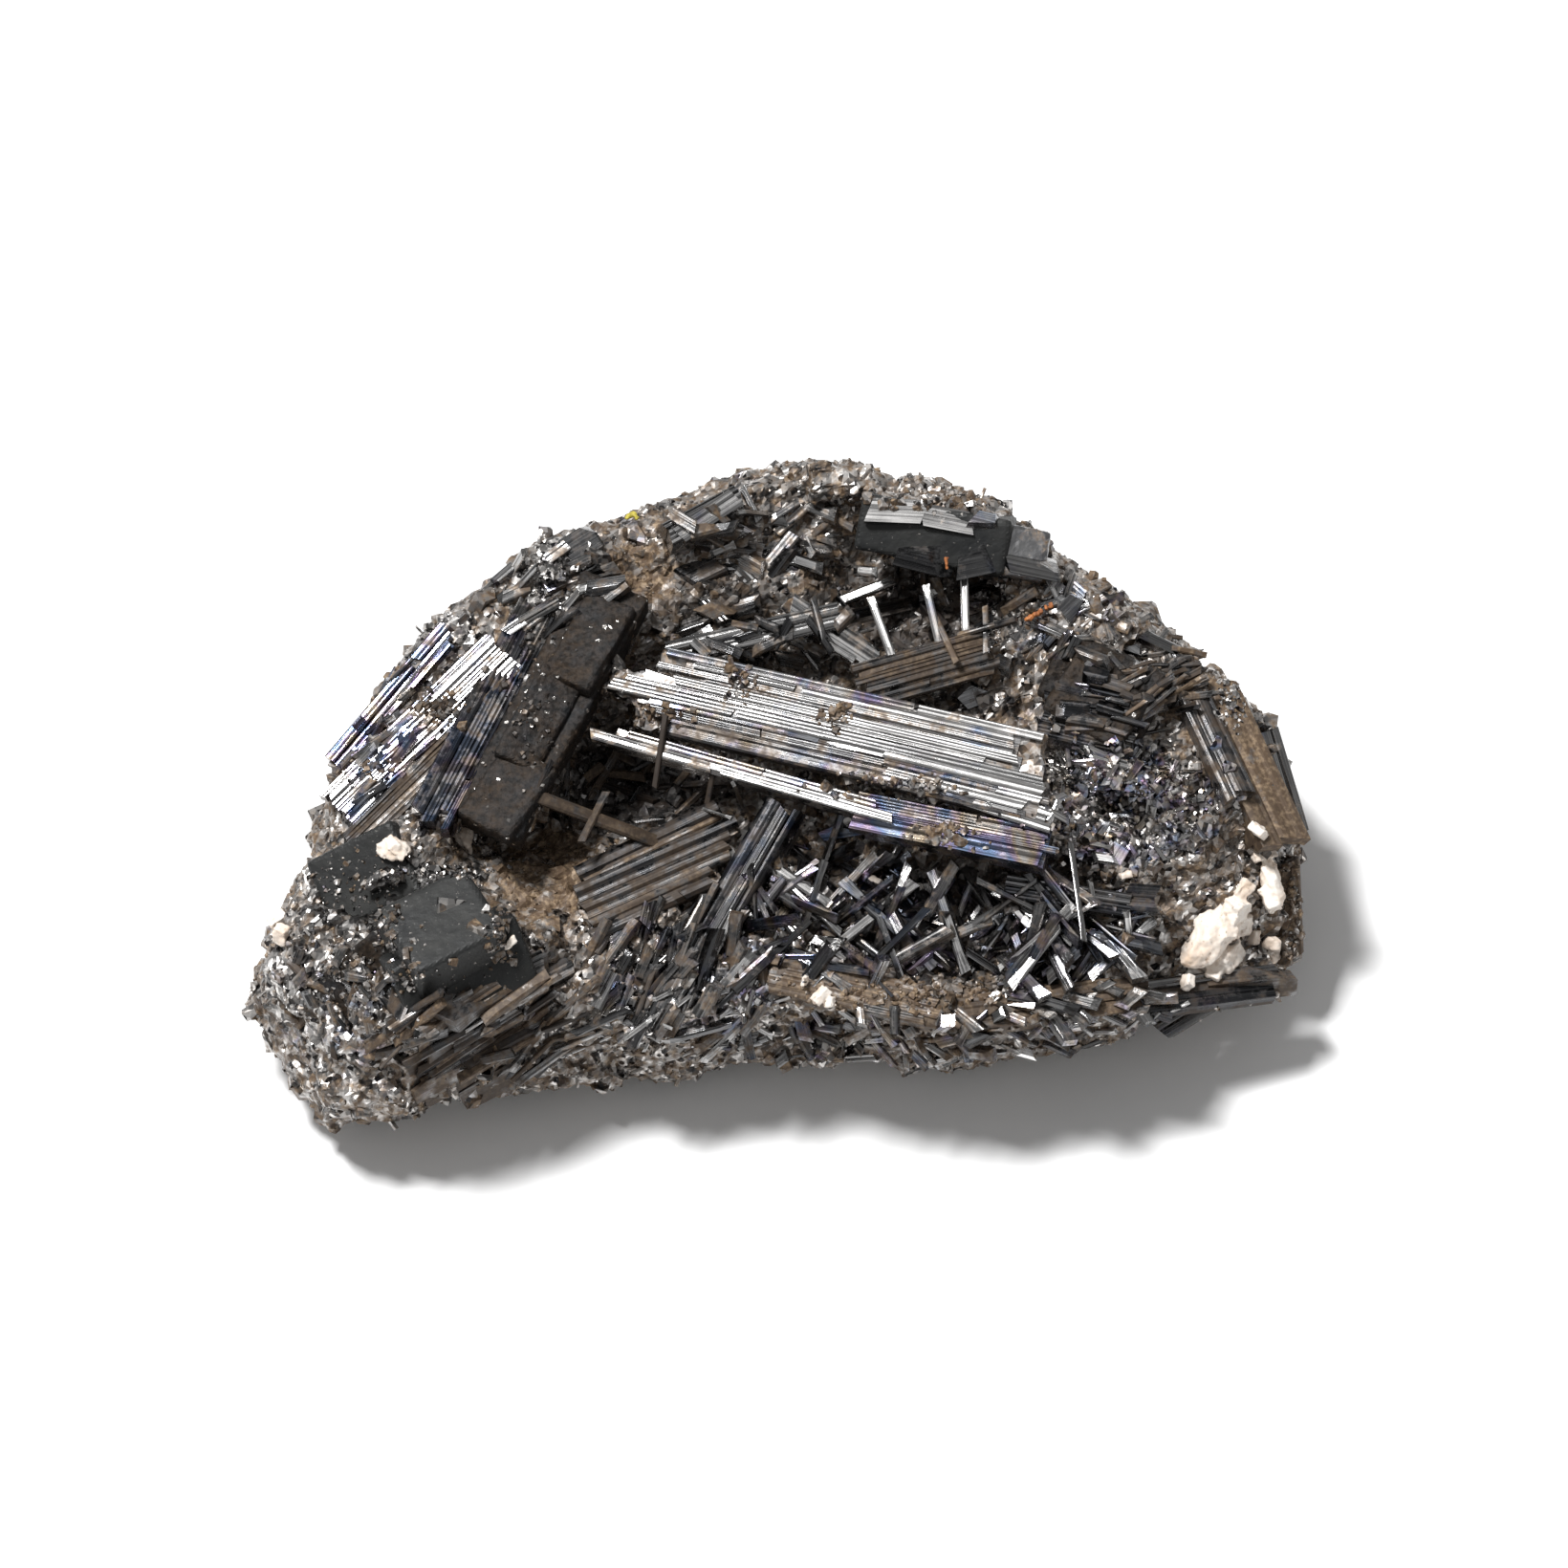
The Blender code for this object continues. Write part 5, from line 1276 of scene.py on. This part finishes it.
def on_blades(spots):
    """Which of an array of points on the skin are seen on a blade."""
    right, up = as_seen(spots)
    covered = np.zeros(len(spots), dtype=bool)
    for start, end, width, _, _, _ in BLADES.values():
        run = np.array(end[:2]) - np.array(start[:2])
        length = np.linalg.norm(run)
        along = ((right - start[0]) * run[0] + (up - start[1]) * run[1]) / length
        across = ((up - start[1]) * run[0] - (right - start[0]) * run[1]) / length
        covered |= (along > 0) & (along < length) & (np.abs(across) < width / 2)
    return covered


def random_axes(normal, lean):
    """A frame whose z leans at random from a normal."""
    facing = Vector(normal) + Vector([rng.gauss(0, lean) for _ in range(3)])
    facing.normalize()
    axis = facing.orthogonal().normalized()
    axis = Matrix.Rotation(rng.uniform(0, math.tau), 3, facing) @ axis
    return axes_of(axis, facing)


def crumbs(name, count, forms, small, large, lean, stretch, finish):
    """One joined mesh of small crystals that sit on the skin."""
    spots, normals, tones = scatter_spots(count)
    covered = on_blades(spots) & (normals @ np.array(TO_VIEWER) > 0.3)
    copies = []
    for spot, normal, tone, hidden in zip(spots, normals, tones, covered):
        if hidden and rng.random() < COVERED_SHARE:
            continue
        size = small + (large - small) * rng.random() ** 2.2
        long, wide, tall = (size * rng.uniform(*span) for span in stretch)
        place = spot - normal * size * CRUMB_SUNK * MM
        axes = random_axes(normal, lean)
        copies.append((rng.choice(forms), axes, place, (long, wide, tall), 0.0, varied(tone, 0.22)))
    return joined(name, copies, finish)


# Calcite and stains


def lobes_on(spots, lift, flatten=0.8):
    """Angular lumps that swell out of the surface at the given spots."""
    parts = []
    for right, up, radius in spots:
        hit, normal = rest_on(right, up)
        bpy.ops.object.select_all(action="DESELECT")
        bpy.ops.mesh.primitive_cube_add(size=radius * 1.7 * MM)
        lobe = bpy.context.object
        lobe.location = hit + (normal + TO_VIEWER) / 2 * lift * MM
        lobe.rotation_euler = [rng.uniform(0.0, math.pi) for _ in range(3)]
        lobe.scale = (rng.uniform(0.8, 1.3), rng.uniform(0.7, 1.1), flatten * rng.uniform(0.6, 1.0))
        parts.append(lobe)
    return parts


def melt(parts, name, finish, voxel, rough):
    """Joins lumps into one rough closed piece."""
    bpy.ops.object.select_all(action="DESELECT")
    for part in parts:
        part.select_set(True)
    bpy.context.view_layer.objects.active = parts[0]
    bpy.ops.object.transform_apply(location=True, rotation=True, scale=True)
    bpy.ops.object.join()
    made = bpy.context.view_layer.objects.active
    made.name = made.data.name = name
    even_faces(made, voxel)
    displace(made, name + "_lumps", "ORIGINAL_PERLIN", size=0.9, strength=rough * 2.2, middle=0.5)
    displace(made, name + "_crumbs", "VORONOI_F1", size=0.5, strength=-rough, middle=0.4)
    apply_all(made)
    made.data.materials.clear()
    made.data.materials.append(finish)
    made.data.shade_smooth()
    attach(made, "root")
    return made


def calcite():
    """The cream calcite, swelling beyond its solids, and small bits of it elsewhere."""
    for node, lobes in CALCITE_LOBES.items():
        parts = [bare_copy(node, node + "_core")] + lobes_on(lobes, lift=0.3)
        name = node.replace("calcite", "white")
        made = melt(parts, name, CALCITE, CALCITE_VOXEL, CALCITE_ROUGHNESS)
        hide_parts(node)
    melt(lobes_on(CALCITE_BITS, lift=0.7), "calcite_bits", CALCITE, BIT_VOXEL, BIT_ROUGHNESS)


def stains():
    """The rust-coloured splinter and speck by the upper hollow, and the yellow speck on the rim."""
    for name, (path, radius) in STAINS.items():
        finish = YELLOW if name == "yellow_speck" else RUST
        spots = []
        for (r0, u0), (r1, u1) in zip(path, path[1:]):
            for share in (0.0, 0.33, 0.67, 1.0):
                spots.append((r0 + (r1 - r0) * share, u0 + (u1 - u0) * share, radius))
        parts = lobes_on(spots, lift=1.3, flatten=0.9)
        melt(parts, name, finish, STAIN_VOXEL, STAIN_ROUGHNESS)


# Stage


def stage():
    """A white floor and surround, a key light, a wide one that is only mirrored, and the camera."""
    bpy.ops.object.select_all(action="DESELECT")
    bpy.ops.mesh.primitive_plane_add(size=FLOOR_SIZE, location=(0.0, 0.0, -FLOOR_DEPTH))
    floor = bpy.context.object
    floor.name = "floor"
    material, _, shader = new_finish("white_floor")
    shader.inputs["Base Color"].default_value = (0.90, 0.90, 0.90, 1.0)
    shader.inputs["Roughness"].default_value = 0.9
    shader.inputs["Specular IOR Level"].default_value = 0.1
    floor.data.materials.append(material)

    world = bpy.data.worlds.new("studio")
    world.use_nodes = True
    background = world.node_tree.nodes["Background"].inputs
    background["Color"].default_value = (1.0, 1.0, 1.0, 1.0)
    background["Strength"].default_value = SURROUND
    bpy.context.scene.world = world

    for name, (way, size, watts) in LIGHTS.items():
        light = bpy.data.lights.new(name, "AREA")
        light.shape = "SQUARE"
        light.size = size
        light.energy = watts
        holder = new_object(name, light)
        away = Vector(way).normalized()
        holder.location = Vector((0.0, 0.0, LIT_HEIGHT)) + away * LIGHT_DISTANCE
        holder.rotation_euler = away.to_track_quat("Z", "Y").to_euler()
        holder.visible_diffuse = name == "key"

    camera = bpy.data.cameras.new("camera")
    camera.lens, camera.sensor_width = LENS, SENSOR
    camera.clip_start, camera.clip_end = 0.01, 10.0
    holder = new_object("camera", camera)
    up_in_view = Vector((0.0, SIN, COS))
    aim = Vector((FRAME_MIDDLE[0] - CENTRE[0], -CENTRE[1], MID_HEIGHT)) * MM
    aim += up_in_view * FRAME_MIDDLE[1] * MM
    holder.location = aim + TO_VIEWER * FRAME_WIDTH / SENSOR * LENS * MM
    holder.rotation_euler = TO_VIEWER.to_track_quat("Z", "Y").to_euler()
    bpy.context.scene.camera = holder
    bpy.context.scene.view_settings.view_transform = "Standard"


# Small crystals: name, number, forms, smallest and largest size, lean, spans of their length, width and
# height, finish.
CRUMBS = (
    ("sunk_blocks", 900, CHIPS, 1.0, 2.2, 0.35, ((0.8, 1.3), (0.6, 1.1), (0.5, 0.8)), SKIN_DRUSE),
    ("druse_grains", 9500, [GRAIN], 0.22, 0.75, 0.5, ((0.8, 1.2), (0.8, 1.2), (0.8, 1.2)), GRAIN_DRUSE),
    ("broken_chips", 2600, CHIPS + [PLATE], 0.3, 1.3, 0.7, ((0.7, 1.5), (0.5, 1.1), (0.4, 0.9)),
     GRAIN_DRUSE),
    ("splinters", 700, [LATH], 0.3, 0.6, 0.6, ((2.0, 5.0), (0.4, 0.9), (0.4, 0.9)), CRYSTAL),
)

picked_laths()
tablets()
jumbles()
for row in CRUMBS:
    crumbs(*row)
calcite()
stains()
stage()
